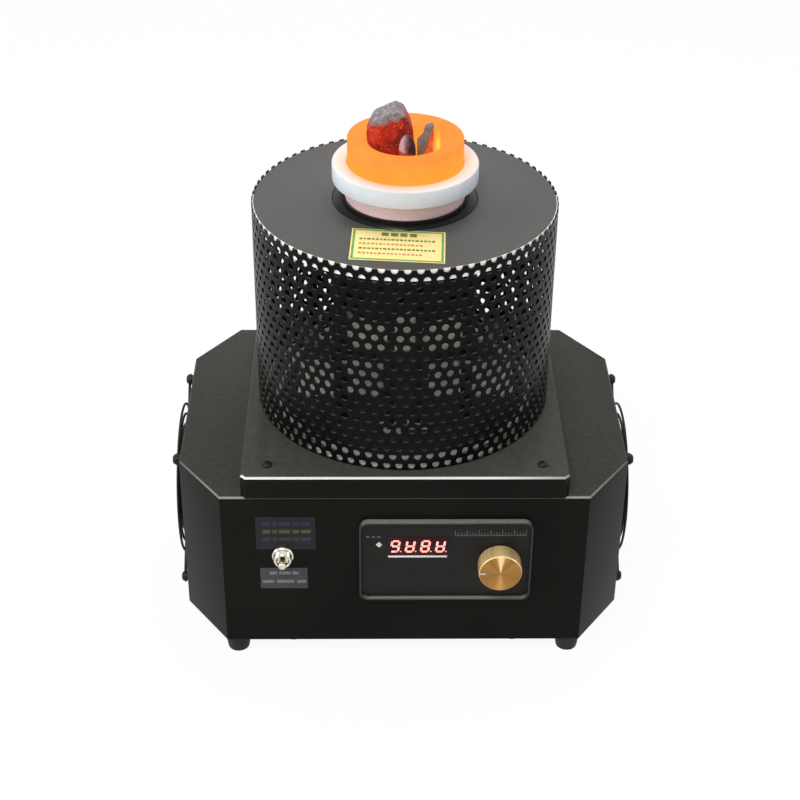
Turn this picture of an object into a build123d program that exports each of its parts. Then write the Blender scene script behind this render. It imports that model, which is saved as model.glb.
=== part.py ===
from build123d import *
import os
from math import atan2, cos, degrees, pi, radians, sin, sqrt

# Electric gold melting furnace: an induction furnace with a graphite crucible in a
# ceramic cup, inside a perforated guard cage, on a folded steel cabinet with two fans.
# Millimetres. +Z is up, the front looks along -Y, and the origin is on the floor
# under the middle of the cabinet.

os.makedirs("parts", exist_ok=True)

# ---- driving dimensions -------------------------------------------------------------

# sheet metal and general clearances
sheet = 1.2                 # cabinet and tray steel
fold = 1.2                  # bevel along a folded corner
turned_sides = 48           # flats that stand for a turned surface, to keep facets few
screw_clearance = 0.15      # radial room round every screw
loose_gap = 0.3             # between parts that drop in by hand
running_gap = 0.06          # radial gap of a shaft in its bearing

# cabinet
foot_height = 13.8
foot_top_radius = 8.5
foot_bottom_radius = 6.2
foot_sides = 12
foot_inset_x = 38.0         # from the cabinet's side to the middle of a foot
foot_inset_y = 16.0         # and from its front or rear
base_width = 312.0
base_margin = 2.5           # the cabinet reaches this much past the tray, front and rear
corner_x = 31.0             # how far a cut corner runs along the front
corner_y = 43.0             # and along the side
flange_width = 9.0          # lip folded in round the bottom of the cabinet
plate_inset = 2.0           # the bottom plate stays inside the cabinet's outline
screw_radius = 2.0          # M4 screws
head_radius = 3.6
head_height = 2.2

# fans
fan_size = 120.0
fan_room = 0.8              # above and below a fan inside the cabinet, which gives its height
fan_depth = 25.4
fan_hole_inset = 7.5        # from a fan's edge to its mounting holes
fan_wall = 3.0              # thinnest wall round the bore
fan_bore_sides = 40
hub_radius = 20.5
hub_sides = 24
blade_count = 7
blade_tip_gap = 3.0         # between the blades and the bore
blade_root_sink = 2.0       # the blades start this deep in the hub
blade_root_chord = 14.0
blade_tip_chord = 21.0
blade_pitch = 40.0          # degrees from the fan's plane
blade_thickness = 1.6
fan_shaft_radius = 1.5
stator = 3.0                # thickness of the motor plate and its struts
strut_width = 4.0
guard_wire = 1.8
guard_standoff = 4.0
guard_arm = 3.6             # width of the two crossed arms
guard_badge_radius = 17.0   # plate in the middle of the guard
guard_ring_inset = 2.5      # from the bore's edge to the outermost ring
guard_rings = 5             # evenly spaced outside the badge
guard_sides = 12

# tray on top of the cabinet
tray_margin_x = 6.75        # from the cage to the tray's sides
tray_margin_y = 4.75        # and to its front and rear edges
tray_height = 17.0
tray_corner = 3.5           # bevel of the tray's upright corners
tray_screw_inset_x = 17.5
tray_screw_inset_y = 11.5
spacer_radius = 5.0

# guard cage
cage_radius = 103.75
cage_height = 152.0
cage_sheet = 1.0
hole_columns = 20           # a coarse grid, as open in all as sheet with 5 mm round holes
hole_rows = 9
hole_width = 13.0
hole_web = 3.0              # left between one row and the next
hole_band = 4.0             # left along the bottom and top edges
bracket_angle = 45.0
bracket_width = 14.0
bracket_leg = 14.0
bracket_sheet = 1.5

# top disc and the black collar round the well
disc_sheet = 1.5
disc_drop = 1.0             # the disc lies this much below the cage's edge
collar_gap = 0.7            # between the collar and the cup
collar_neck = 7.6           # from the collar's bore to the edge of the well
collar_flange = 4.0
collar_thickness = 3.0

# hot stack
crucible_radius = 38.8
cup_wall = 1.4
cup_flange = 8.6            # how far the flange stands out from the tube
cup_flange_height = 12.4
cup_rise = 27.0             # from the cage's top edge to the top of the cup's flange
cup_length = 97.0
cup_floor = 4.0
crucible_rise = 13.0        # crucible above the cup's flange
mouth_radius = 25.2
crucible_floor = 16.0
melt_depth = 50.0
lump_sink = 15.0            # depth of the metal lumps' feet in the melt
# across the mouth the lumps are shares of the mouth's radius; heights are above the melt
block_lump_depth = 0.794
block_lump_corner = 0.238
block_lump_y = 0.159
block_lump_outline = [
    (-0.929, 50.0), (-0.774, 59.0), (-0.198, 67.0), (0.02, 64.0), (0.218, 54.0), (0.278, 45.0),
]
slab_lump_depth = 0.238
slab_lump_outline = [(0.357, 42.0), (0.476, 45.0), (0.556, 52.0), (0.738, 53.6)]
cone_lump_x = 0.032
cone_lump_y = -0.516
cone_lump_radius = 0.23
cone_lump_rise = 51.0
block_height = 25.5         # pale refractory block that the cup stands on
block_margin = 1.5
support_thickness = 3.0
support_margin = 7.0        # from the middle of a post to the plate's edge
post_radius = 4.0
post_gap = 4.0              # between a post and the collar's flange
sleeve_gap = 0.9            # between the sleeve and the cup
sleeve_thickness = 3.3
sleeve_headroom = 4.5       # below the collar
coil_wall = 5.0
coil_turns = 4
coil_bar_height = 11.0
coil_opening = 24.0         # left in the front of each turn, where the steps cross over
coil_lap = 1.0              # the steps overlap the turns and are thinner by this much
coil_sides = 16
lead_x = 9.5
lead_width = 5.0
lead_stagger = 8.0          # the left lead stands this much in front of the right one
bush_width = 14.0
bush_neck = 9.6
bush_height = 5.0

# front panel
bezel_inset = 37.5          # from the front panel's right edge
bezel_drop = 53.5           # from the cabinet's top to the middle of the bezel
bezel_width = 119.0
bezel_height = 68.0
bezel_corner = 6.5
bezel_rim = 4.0
bezel_depth = 5.0
faceplate_thickness = 2.0
panel_cutout_margin = 3.5   # the cut-out is this much smaller than the faceplate all round
window_inset = 19.25        # from the bezel's left edge
window_drop = 24.0          # from the bezel's top edge to the middle of the window
window_width = 42.0
window_height = 15.6
window_proud = 0.6
module_depth = 8.0
lamp_inset = 13.5
lamp_drop = 21.1
lamp_width = 3.2
knob_inset = 22.0           # from the bezel's right edge
knob_radius = 15.0
knob_length = 12.9
knob_flutes = 30
knob_flute_depth = 0.5
knob_recess_radius = 8.5
knob_recess = 3.6
knob_front_wall = 3.5
pot_shaft_radius = 3.0
pot_bush_radius = 4.0
pot_sides = 12
pot_nut_radius = 6.2
pot_nut_height = 2.2
pot_body_width = 17.0
toggle_inset = 41.5         # from the front panel's left edge
toggle_drop = 49.0          # from the cabinet's top
toggle_bush_radius = 6.0
toggle_bush_sides = 16
toggle_bore_radius = 4.4
toggle_bush_length = 7.5
toggle_nut_radius = 7.85
toggle_nut_height = 2.6
toggle_body_width = 15.0
toggle_body_height = 28.0
toggle_body_depth = 18.0
pivot_pin_radius = 1.0
lever_root_radius = 1.9
lever_tip_radius = 2.9
lever_length = 14.5
lever_tilt = 12.0           # degrees below level when off

# rear panel
inlet_inset = 59.0          # from the rear panel's edge
inlet_rise = 30.0           # from the cabinet's bottom
inlet_flange_width = 50.0
inlet_flange_height = 28.0
inlet_flange_thickness = 2.5
inlet_corner = 5.0
inlet_body_width = 28.0
inlet_body_height = 22.0
inlet_body_depth = 20.0
socket_side = 2.0           # walls at the socket's sides
socket_end = 2.5            # and above and below it
socket_depth = 16.0
pin_spacing = 7.0
pin_drop = 1.5
pin_width = 3.0
pin_thickness = 2.0
inlet_screw_inset = 5.0
rocker_offset = 48.0        # from the middle of the inlet
rocker_frame_width = 21.0
rocker_frame_height = 26.0
rocker_width = 12.0
rocker_height = 17.0
rocker_flange = 2.0
rocker_body_depth = 13.0
rocker_tilt = 10.0
rocker_swing = 1.2          # room above and below for the rocker's corners as they swing
# half the rocker's side view: distance out from the pivot, and height above it
rocker_profile = [(5.2, 1.0), (1.5, 1.0), (-3.0, 0.35)]
rocker_dip = 4.0            # distance of the dished face's middle from the pivot

# electronics on the bottom plate
supply_width = 210.0
supply_depth = 115.0
supply_height = 50.0
supply_y = -4.5
board_width = 150.0
board_depth = 104.0
board_thickness = 1.6
board_y = -8.0
standoff_height = 8.0
capacitor_width = 30.0
capacitor_depth = 18.0
capacitor_height = 36.0
capacitor_gap = 3.0
busbar_thickness = 3.0
sink_width = 60.0
sink_depth = 24.0
sink_height = 34.0
sink_fins = 7
sink_spine = 4.0
sink_fin = 2.0
sink_x = 38.0
sink_y = 6.0
choke_radius = 17.0
choke_height = 14.0
choke_x = 30.0
choke_y = -20.0

# ---- places worked out from them -----------------------------------------------------

cage_sides = 2 * hole_columns              # flats of the rolled sheet, one for each column of holes
cage_inner = cage_radius - cage_sheet
cage_flat = cage_inner * cos(pi / cage_sides)  # from the axis to the middle of a flat, inside
tray_width = 2 * (cage_radius + tray_margin_x)
tray_depth = 2 * (cage_radius + tray_margin_y)
base_depth = tray_depth + 2 * base_margin
base_height = fan_size + 2 * (sheet + fan_room)
base_bottom = foot_height + sheet
base_top = base_bottom + base_height
tray_top = base_top + tray_height
cage_top = tray_top + cage_height
disc_top = cage_top - disc_drop
disc_bottom = disc_top - disc_sheet
disc_radius = cage_flat - loose_gap
cup_tube_radius = crucible_radius + loose_gap + cup_wall
cup_flange_radius = cup_tube_radius + cup_flange
cup_top = cage_top + cup_rise
block_top = cup_top - cup_length
block_width = 2 * (cup_tube_radius + block_margin)
collar_bore_radius = cup_tube_radius + collar_gap
well_radius = collar_bore_radius + collar_neck
post_offset = (well_radius + collar_flange + post_gap + post_radius) / sqrt(2)
support_width = 2 * (post_offset + support_margin)
sleeve_inner_radius = cup_tube_radius + sleeve_gap
sleeve_height = disc_bottom - collar_thickness - sleeve_headroom - block_top
coil_inner_radius = sleeve_inner_radius + sleeve_thickness + loose_gap
coil_outer_radius = coil_inner_radius + coil_wall
coil_spacing = sleeve_height / coil_turns
opening_edge = coil_opening / 2            # each end of a turn, from the middle
crucible_bottom = block_top + cup_floor
crucible_top = cup_top + crucible_rise
cavity_floor = crucible_bottom + crucible_floor
melt_top = cavity_floor + melt_depth
front = -base_depth / 2
rear = base_depth / 2
side = base_width / 2
front_edge = side - corner_x               # half the width of the front and rear panels
foot_x = side - foot_inset_x
foot_y = rear - foot_inset_y
tray_screw_x = tray_width / 2 - tray_screw_inset_x
tray_screw_y = tray_depth / 2 - tray_screw_inset_y
fan_z = base_bottom + base_height / 2
fan_inner = side - sheet - fan_depth
fan_hole_spacing = fan_size - 2 * fan_hole_inset
fan_bore_radius = fan_size / 2 - fan_wall
blade_tip_radius = fan_bore_radius - blade_tip_gap
guard_ring_radius = fan_bore_radius - guard_ring_inset
guard_ring_spacing = (guard_ring_radius - guard_badge_radius) / guard_rings
bezel_x = front_edge - bezel_inset - bezel_width / 2
bezel_z = base_top - bezel_drop
bezel_left = bezel_x - bezel_width / 2
bezel_top = bezel_z + bezel_height / 2
window_x = bezel_left + window_inset + window_width / 2
window_z = bezel_top - window_drop
lamp_x = bezel_left + lamp_inset
lamp_z = bezel_top - lamp_drop
knob_x = bezel_x + bezel_width / 2 - knob_inset
knob_z = bezel_z
toggle_x = toggle_inset - front_edge
toggle_z = base_top - toggle_drop
inlet_x = front_edge - inlet_inset
inlet_z = base_bottom + inlet_rise
inlet_screw_spacing = inlet_flange_width - 2 * inlet_screw_inset
rocker_x = inlet_x - rocker_offset
screw_hole = screw_radius + screw_clearance
screw_sides = 8             # screw holes have flats, like the screws, to keep facets few
supply_top = base_bottom + supply_height
board_top = supply_top + standoff_height + board_thickness
support_top = block_top - block_height
capacitor_top = board_top + capacitor_height
capacitor_spacing = capacitor_width + capacitor_gap

tray_screw_places = [
    (x, y) for x in (-tray_screw_x, tray_screw_x) for y in (-tray_screw_y, tray_screw_y)
]
foot_places = [(x, y) for x in (-foot_x, foot_x) for y in (-foot_y, foot_y)]
flange_screw_inset = flange_width / 2 + plate_inset / 2
flange_screw_places = [
    (x, y)
    for x in (-base_width / 4, base_width / 4)
    for y in (front + flange_screw_inset, rear - flange_screw_inset)
]
post_places = [(x, y) for x in (-post_offset, post_offset) for y in (-post_offset, post_offset)]
cabinet_outline = [
    (-side + corner_x, front),
    (side - corner_x, front),
    (side, front + corner_y),
    (side, rear - corner_y),
    (side - corner_x, rear),
    (-side + corner_x, rear),
    (-side, rear - corner_y),
    (-side, front + corner_y),
]


def save(builder, name):
    builder.part.label = name
    export_step(builder.part, f"parts/{name}.step")


# ---- cabinet -------------------------------------------------------------------------

with BuildPart() as base_shell:
    with BuildSketch(Plane.XY.offset(base_bottom)):
        with BuildLine():
            Polyline(*cabinet_outline, close=True)
        make_face()
    extrude(amount=base_height)
    chamfer(base_shell.edges().group_by(Axis.Z)[-1], length=fold)
    offset(amount=-sheet, openings=base_shell.faces().sort_by(Axis.Z)[0])
    # lip folded in round the open bottom, with holes for the bottom plate's screws
    with BuildSketch(Plane.XY.offset(base_bottom)):
        with BuildLine():
            Polyline(*cabinet_outline, close=True)
        make_face()
        offset(amount=-sheet / 2, kind=Kind.INTERSECTION, mode=Mode.REPLACE)
        with BuildLine():
            Polyline(*cabinet_outline, close=True)
        offset(make_face(mode=Mode.PRIVATE), amount=-flange_width, kind=Kind.INTERSECTION, mode=Mode.SUBTRACT)
        with Locations(*flange_screw_places):
            RegularPolygon(screw_hole, screw_sides, major_radius=False, mode=Mode.SUBTRACT)
    extrude(amount=sheet)
    # fan apertures and their screw holes, through both side panels
    with BuildSketch(Plane.YZ):
        with Locations((0, fan_z)):
            RegularPolygon(fan_bore_radius, fan_bore_sides)
            with GridLocations(fan_hole_spacing, fan_hole_spacing, 2, 2):
                RegularPolygon(screw_hole, screw_sides, major_radius=False)
    extrude(amount=side + sheet, both=True, mode=Mode.SUBTRACT)
    # front panel: the controller's cut-out and the toggle switch's hole
    with BuildSketch(Plane.XZ.offset(-front - 2 * sheet)):
        with Locations((bezel_x, bezel_z)):
            Rectangle(
                bezel_width - 2 * bezel_rim - 2 * panel_cutout_margin,
                bezel_height - 2 * bezel_rim - 2 * panel_cutout_margin,
            )
        with Locations((toggle_x, toggle_z)):
            RegularPolygon(toggle_bush_radius + screw_clearance, toggle_bush_sides, major_radius=False)
    extrude(amount=3 * sheet, mode=Mode.SUBTRACT)
    # rear panel: mains inlet and rocker
    with BuildSketch(Plane.XZ.offset(-rear - sheet)):
        with Locations((inlet_x, inlet_z)):
            Rectangle(inlet_body_width + 2 * loose_gap, inlet_body_height + 2 * loose_gap)
            with GridLocations(inlet_screw_spacing, 0, 2, 1):
                RegularPolygon(screw_hole, screw_sides, major_radius=False)
        with Locations((rocker_x, inlet_z)):
            Rectangle(rocker_frame_width - 2 * sheet, rocker_frame_height - 2 * sheet)
    extrude(amount=3 * sheet, mode=Mode.SUBTRACT)
    # top: screws of the tray, and the window for the coil's leads
    with BuildSketch(Plane.XY.offset(base_top - 2 * sheet)):
        with Locations(*tray_screw_places):
            RegularPolygon(screw_hole, screw_sides, major_radius=False)
        with Locations((0, -coil_inner_radius - coil_wall)):
            Rectangle(6 * lead_x, 4 * lead_x)
    extrude(amount=3 * sheet, mode=Mode.SUBTRACT)
save(base_shell, "base_shell")

with BuildPart() as bottom_plate:
    with BuildSketch(Plane.XY.offset(foot_height)):
        with BuildLine():
            Polyline(*cabinet_outline, close=True)
        make_face()
        offset(amount=-plate_inset, kind=Kind.INTERSECTION, mode=Mode.REPLACE)
        with Locations(*flange_screw_places, *foot_places):
            RegularPolygon(screw_hole, screw_sides, major_radius=False, mode=Mode.SUBTRACT)
    extrude(amount=sheet)
save(bottom_plate, "bottom_plate")

with BuildPart() as bottom_screws:
    with BuildSketch(Plane.XY.offset(foot_height - head_height)):
        with Locations(*flange_screw_places):
            RegularPolygon(head_radius, 6)
    extrude(amount=head_height)
    with BuildSketch(Plane.XY.offset(foot_height)):
        with Locations(*flange_screw_places):
            RegularPolygon(screw_radius, 4)
    extrude(amount=3 * sheet)
save(bottom_screws, "bottom_screws")

with BuildPart() as rubber_feet:
    with BuildSketch():
        with Locations(*foot_places):
            RegularPolygon(foot_bottom_radius, foot_sides)
    extrude(amount=foot_height, taper=-degrees(atan2(foot_top_radius - foot_bottom_radius, foot_height)))
    with BuildSketch(Plane.XY.offset(foot_height)):
        with Locations(*foot_places):
            RegularPolygon(screw_hole, screw_sides, major_radius=False)
    extrude(amount=-foot_height / 2, mode=Mode.SUBTRACT)
save(rubber_feet, "rubber_feet")

with BuildPart() as foot_screws:
    with BuildSketch(Plane.XY.offset(base_bottom)):
        with Locations(*foot_places):
            RegularPolygon(head_radius, 6)
    extrude(amount=head_height)
    with BuildSketch(Plane.XY.offset(base_bottom)):
        with Locations(*foot_places):
            RegularPolygon(screw_radius, 4)
    extrude(amount=-foot_height / 3)
save(foot_screws, "foot_screws")

# ---- fans ----------------------------------------------------------------------------

for label, way in (("left", -1), ("right", 1)):
    outward = Plane(origin=(way * fan_inner, 0, fan_z), x_dir=(0, 1, 0), z_dir=(way, 0, 0))
    with BuildPart() as fan_frame:
        with BuildSketch(outward):
            Rectangle(fan_size, fan_size)
            RegularPolygon(fan_bore_radius, fan_bore_sides, mode=Mode.SUBTRACT)
            with GridLocations(fan_hole_spacing, fan_hole_spacing, 2, 2):
                RegularPolygon(screw_hole, screw_sides, major_radius=False, mode=Mode.SUBTRACT)
        extrude(amount=fan_depth)
        with BuildSketch(outward):
            Rectangle(fan_size, strut_width)
            Rectangle(strut_width, fan_size)
            RegularPolygon(hub_radius, hub_sides)
            RegularPolygon(fan_shaft_radius + running_gap, screw_sides, major_radius=False, mode=Mode.SUBTRACT)
        extrude(amount=stator)
    save(fan_frame, f"fan_frame_{label}")

    hub_length = fan_depth - stator - 2 * blade_thickness
    hub_start = stator + loose_gap
    hub_middle = Vector(way * (fan_inner + hub_start + hub_length / 2), 0, fan_z)
    with BuildPart() as fan_rotor:
        with BuildSketch(outward.offset(hub_start)):
            RegularPolygon(hub_radius, hub_sides)
        extrude(amount=hub_length)
        with BuildSketch(outward.offset(hub_start)):
            RegularPolygon(fan_shaft_radius, screw_sides)
        extrude(amount=-stator)
        # flat blades, wider at the tip, each set at the same pitch across the fan's plane
        for blade in range(blade_count):
            around = radians(360 / blade_count * blade)
            spoke = Vector(0, cos(around), way * sin(around))
            tangent = Vector(0, -sin(around), way * cos(around))
            chord = tangent * cos(radians(blade_pitch)) + Vector(way, 0, 0) * sin(radians(blade_pitch))
            with BuildSketch(Plane(origin=hub_middle, x_dir=spoke, z_dir=spoke.cross(chord))):
                with BuildLine():
                    Polyline(
                        (hub_radius - blade_root_sink, -blade_root_chord / 2),
                        (blade_tip_radius, -blade_tip_chord / 2),
                        (blade_tip_radius, blade_tip_chord / 2),
                        (hub_radius - blade_root_sink, blade_root_chord / 2),
                        close=True,
                    )
                make_face()
            extrude(amount=blade_thickness / 2, both=True)
    save(fan_rotor, f"fan_rotor_{label}")

    # wire finger guard: rings carried by two crossed arms on four lugs
    guard_face = Plane(origin=(way * side, 0, fan_z), x_dir=(0, 1, 0), z_dir=(way, 0, 0))
    with BuildPart() as fan_guard:
        with BuildSketch(guard_face.offset(guard_standoff)):
            for ring in range(guard_rings):
                radius = guard_ring_radius - ring * guard_ring_spacing
                RegularPolygon(radius + guard_wire / 2, guard_sides)
                RegularPolygon(radius - guard_wire / 2, guard_sides, mode=Mode.SUBTRACT)
            RegularPolygon(guard_badge_radius, guard_sides)
        extrude(amount=guard_wire)
        with BuildSketch(guard_face.offset(guard_standoff - guard_wire)):
            Rectangle(fan_hole_spacing * sqrt(2), guard_arm, rotation=45)
            Rectangle(fan_hole_spacing * sqrt(2), guard_arm, rotation=-45)
        extrude(amount=guard_wire)
        with BuildSketch(guard_face):
            with GridLocations(fan_hole_spacing, fan_hole_spacing, 2, 2):
                Rectangle(2 * head_radius, 2 * head_radius, rotation=45)
        extrude(amount=guard_standoff)
        with BuildSketch(guard_face):
            with GridLocations(fan_hole_spacing, fan_hole_spacing, 2, 2):
                RegularPolygon(screw_hole, screw_sides, major_radius=False)
        extrude(amount=guard_standoff, mode=Mode.SUBTRACT)
    save(fan_guard, f"fan_guard_{label}")

with BuildPart() as fan_screws:
    for way in (-1, 1):
        seat = Plane(
            origin=(way * (side + guard_standoff), 0, fan_z), x_dir=(0, 1, 0), z_dir=(way, 0, 0)
        )
        with BuildSketch(seat):
            with GridLocations(fan_hole_spacing, fan_hole_spacing, 2, 2):
                RegularPolygon(head_radius, 6)
        extrude(amount=head_height)
        with BuildSketch(seat):
            with GridLocations(fan_hole_spacing, fan_hole_spacing, 2, 2):
                RegularPolygon(screw_radius, 4)
        extrude(amount=-(guard_standoff + sheet + fan_depth / 2))
save(fan_screws, "fan_screws")

# ---- tray ----------------------------------------------------------------------------

lead_back_y = -(coil_inner_radius + coil_wall / 2)
lead_front_y = lead_back_y - lead_stagger
lead_places = [(lead_x, lead_back_y), (-lead_x, lead_front_y)]
bracket_distance = cage_flat
bracket_screw_distance = bracket_distance - bracket_sheet - bracket_leg / 2

with BuildPart() as tray:
    with BuildSketch(Plane.XY.offset(base_top)):
        Rectangle(tray_width, tray_depth)
    extrude(amount=tray_height)
    chamfer(tray.edges().filter_by(Axis.Z), length=tray_corner)
    chamfer(tray.edges().group_by(Axis.Z)[-1], length=fold)
    offset(amount=-sheet, openings=tray.faces().sort_by(Axis.Z)[0])
    with BuildSketch(Plane.XY.offset(tray_top - 2 * sheet)):
        with Locations(*tray_screw_places):
            RegularPolygon(screw_hole, screw_sides, major_radius=False)
        with Locations(*lead_places):
            Rectangle(bush_neck + 2 * screw_clearance, bush_neck + 2 * screw_clearance)
        with PolarLocations(bracket_screw_distance, 4, start_angle=bracket_angle):
            RegularPolygon(screw_hole, screw_sides, major_radius=False)
    extrude(amount=3 * sheet, mode=Mode.SUBTRACT)
save(tray, "tray")

with BuildPart() as tray_spacers:
    with BuildSketch(Plane.XY.offset(base_top)):
        with Locations(*tray_screw_places):
            RegularPolygon(spacer_radius, 6)
            RegularPolygon(screw_hole, screw_sides, major_radius=False, mode=Mode.SUBTRACT)
    extrude(amount=tray_height - sheet)
save(tray_spacers, "tray_spacers")

with BuildPart() as tray_screws:
    with BuildSketch(Plane.XY.offset(tray_top)):
        with Locations(*tray_screw_places):
            RegularPolygon(head_radius, 8)
    extrude(amount=head_height)
    with BuildSketch(Plane.XY.offset(tray_top)):
        with Locations(*tray_screw_places):
            RegularPolygon(screw_radius, 4)
    extrude(amount=-(tray_height + 3 * sheet))
save(tray_screws, "tray_screws")

# ---- guard cage ----------------------------------------------------------------------

with BuildPart() as perforated_cage:
    with BuildSketch(Plane.XY.offset(tray_top)):
        RegularPolygon(cage_radius, cage_sides, rotation=90 / hole_columns)
        RegularPolygon(cage_inner, cage_sides, rotation=90 / hole_columns, mode=Mode.SUBTRACT)
    extrude(amount=cage_height)
    # staggered rows of holes, each row turned half a step against the one below
    hole_height = (cage_height - 2 * hole_band - (hole_rows - 1) * hole_web) / hole_rows
    for row in range(hole_rows):
        turn = 180 / hole_columns * (row % 2)
        height = tray_top + hole_band + hole_height / 2 + row * (hole_height + hole_web)
        with Locations((0, 0, height)):
            with PolarLocations(cage_radius, hole_columns, start_angle=turn):
                Box(6 * cage_sheet, hole_width, hole_height, mode=Mode.SUBTRACT)
save(perforated_cage, "perforated_cage")

with BuildPart() as cage_brackets:
    with PolarLocations(bracket_distance - bracket_sheet / 2, 4, start_angle=bracket_angle):
        with Locations((0, 0, tray_top + bracket_leg / 2)):
            Box(bracket_sheet, bracket_width, bracket_leg)
    with PolarLocations(bracket_distance - (bracket_leg + bracket_sheet) / 2, 4, start_angle=bracket_angle):
        with Locations((0, 0, tray_top + bracket_sheet / 2)):
            Box(bracket_leg + bracket_sheet, bracket_width, bracket_sheet)
    with BuildSketch(Plane.XY.offset(tray_top)):
        with PolarLocations(bracket_screw_distance, 4, start_angle=bracket_angle):
            RegularPolygon(screw_hole, screw_sides, major_radius=False)
    extrude(amount=bracket_sheet, mode=Mode.SUBTRACT)
save(cage_brackets, "cage_brackets")

with BuildPart() as bracket_screws:
    with BuildSketch(Plane.XY.offset(tray_top + bracket_sheet)):
        with PolarLocations(bracket_screw_distance, 4, start_angle=bracket_angle):
            RegularPolygon(head_radius, 6)
    extrude(amount=head_height)
    with BuildSketch(Plane.XY.offset(tray_top + bracket_sheet)):
        with PolarLocations(bracket_screw_distance, 4, start_angle=bracket_angle):
            RegularPolygon(screw_radius, 4)
    extrude(amount=-(bracket_sheet + 3 * sheet))
save(bracket_screws, "bracket_screws")

# ---- top disc, its posts and the collar of the well -------------------------------------

with BuildPart() as top_disc:
    with BuildSketch(Plane.XY.offset(disc_bottom)):
        RegularPolygon(disc_radius, turned_sides)
        RegularPolygon(well_radius, turned_sides, mode=Mode.SUBTRACT)
    extrude(amount=disc_sheet)
save(top_disc, "top_disc")

with BuildPart() as disc_posts:
    with BuildSketch(Plane.XY.offset(tray_top)):
        with Locations(*post_places):
            RegularPolygon(post_radius, 6)
    extrude(amount=disc_bottom - tray_top)
save(disc_posts, "disc_posts")

# ring clamped under the disc, with a neck that fills the disc's hole
with BuildPart() as well_collar:
    with BuildSketch(Plane.XY.offset(disc_bottom - collar_thickness)):
        RegularPolygon(well_radius + collar_flange, turned_sides)
        RegularPolygon(collar_bore_radius, turned_sides, major_radius=False, mode=Mode.SUBTRACT)
    extrude(amount=collar_thickness)
    with BuildSketch(Plane.XY.offset(disc_bottom)):
        RegularPolygon(well_radius - loose_gap, turned_sides)
        RegularPolygon(collar_bore_radius, turned_sides, major_radius=False, mode=Mode.SUBTRACT)
    extrude(amount=disc_sheet)
save(well_collar, "well_collar")

# ---- hot stack -------------------------------------------------------------------------

with BuildPart() as support_plate:
    with BuildSketch(Plane.XY.offset(support_top - support_thickness)):
        Rectangle(support_width, support_width)
        with Locations(*post_places):
            RegularPolygon(post_radius + screw_clearance, 6, mode=Mode.SUBTRACT)
        with Locations((0, -support_width / 2)):
            Rectangle(4 * lead_x, 3 * coil_wall, mode=Mode.SUBTRACT)
    extrude(amount=support_thickness)
save(support_plate, "support_plate")

with BuildPart() as support_nuts:
    with BuildSketch(Plane.XY.offset(support_top - support_thickness)):
        with Locations(*post_places):
            RegularPolygon(2 * post_radius, 6)
            RegularPolygon(post_radius + screw_clearance, 6, mode=Mode.SUBTRACT)
    extrude(amount=-post_radius)
save(support_nuts, "support_nuts")

with BuildPart() as refractory_block:
    with BuildSketch(Plane.XY.offset(support_top)):
        Rectangle(block_width, block_width)
        with Locations(*post_places):
            RegularPolygon(post_radius + loose_gap, 6, mode=Mode.SUBTRACT)
    extrude(amount=block_height)
save(refractory_block, "refractory_block")

facet_turn = 180 / coil_sides               # turns a flat of the coil to the front
with BuildPart() as insulation_sleeve:
    with BuildSketch(Plane.XY.offset(block_top)):
        RegularPolygon(coil_inner_radius - loose_gap, coil_sides, major_radius=False, rotation=facet_turn)
        RegularPolygon(
            sleeve_inner_radius, coil_sides, major_radius=False, rotation=facet_turn, mode=Mode.SUBTRACT
        )
    extrude(amount=sleeve_height)
save(insulation_sleeve, "insulation_sleeve")

coil_bottom = block_top + loose_gap
with BuildPart() as induction_coil:
    for turn in range(coil_turns):
        turn_bottom = coil_bottom + turn * coil_spacing
        with BuildSketch(Plane.XY.offset(turn_bottom)):
            RegularPolygon(coil_outer_radius, coil_sides, major_radius=False, rotation=facet_turn)
            RegularPolygon(
                coil_inner_radius, coil_sides, major_radius=False, rotation=facet_turn, mode=Mode.SUBTRACT
            )
            with Locations((0, -coil_outer_radius)):
                Rectangle(2 * opening_edge, 4 * coil_wall, mode=Mode.SUBTRACT)
        extrude(amount=coil_bar_height)
        # the step that carries this turn's end up to the start of the next one
        if turn < coil_turns - 1:
            with BuildSketch(Plane.XZ.offset(coil_inner_radius)):
                with BuildLine():
                    Polyline(
                        (-opening_edge - coil_lap, turn_bottom),
                        (-opening_edge - coil_lap, turn_bottom + coil_bar_height),
                        (opening_edge + coil_lap, turn_bottom + coil_spacing + coil_bar_height),
                        (opening_edge + coil_lap, turn_bottom + coil_spacing),
                        close=True,
                    )
                make_face()
            extrude(amount=coil_wall - coil_lap)
    # leads from the first turn's start and the last turn's end, down to the busbars
    lead_bottom = capacitor_top + busbar_thickness
    with BuildSketch(Plane.XY.offset(lead_bottom)):
        with Locations((lead_x, lead_back_y)):
            Rectangle(lead_width, lead_width)
    extrude(amount=coil_bottom + coil_bar_height - lead_bottom)
    with BuildSketch(Plane.XY.offset(coil_bottom)):
        with Locations(((lead_x - lead_width / 2 + opening_edge + coil_lap) / 2, lead_back_y)):
            Rectangle(opening_edge + coil_lap - lead_x + lead_width / 2, coil_wall - coil_lap)
    extrude(amount=coil_bar_height)
    last_turn_bottom = coil_bottom + (coil_turns - 1) * coil_spacing
    with BuildSketch(Plane.XY.offset(lead_bottom)):
        with Locations((-lead_x, lead_front_y)):
            Rectangle(lead_width, lead_width)
    extrude(amount=last_turn_bottom + coil_bar_height - lead_bottom)
    with BuildSketch(Plane.XY.offset(last_turn_bottom)):
        link_x = -(opening_edge + coil_lap + lead_x - lead_width / 2) / 2
        with Locations((link_x, (lead_back_y + lead_front_y) / 2)):
            Rectangle(
                opening_edge + coil_lap - lead_x + lead_width / 2,
                lead_back_y - lead_front_y + lead_width,
            )
    extrude(amount=coil_bar_height)
save(induction_coil, "induction_coil")

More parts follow.
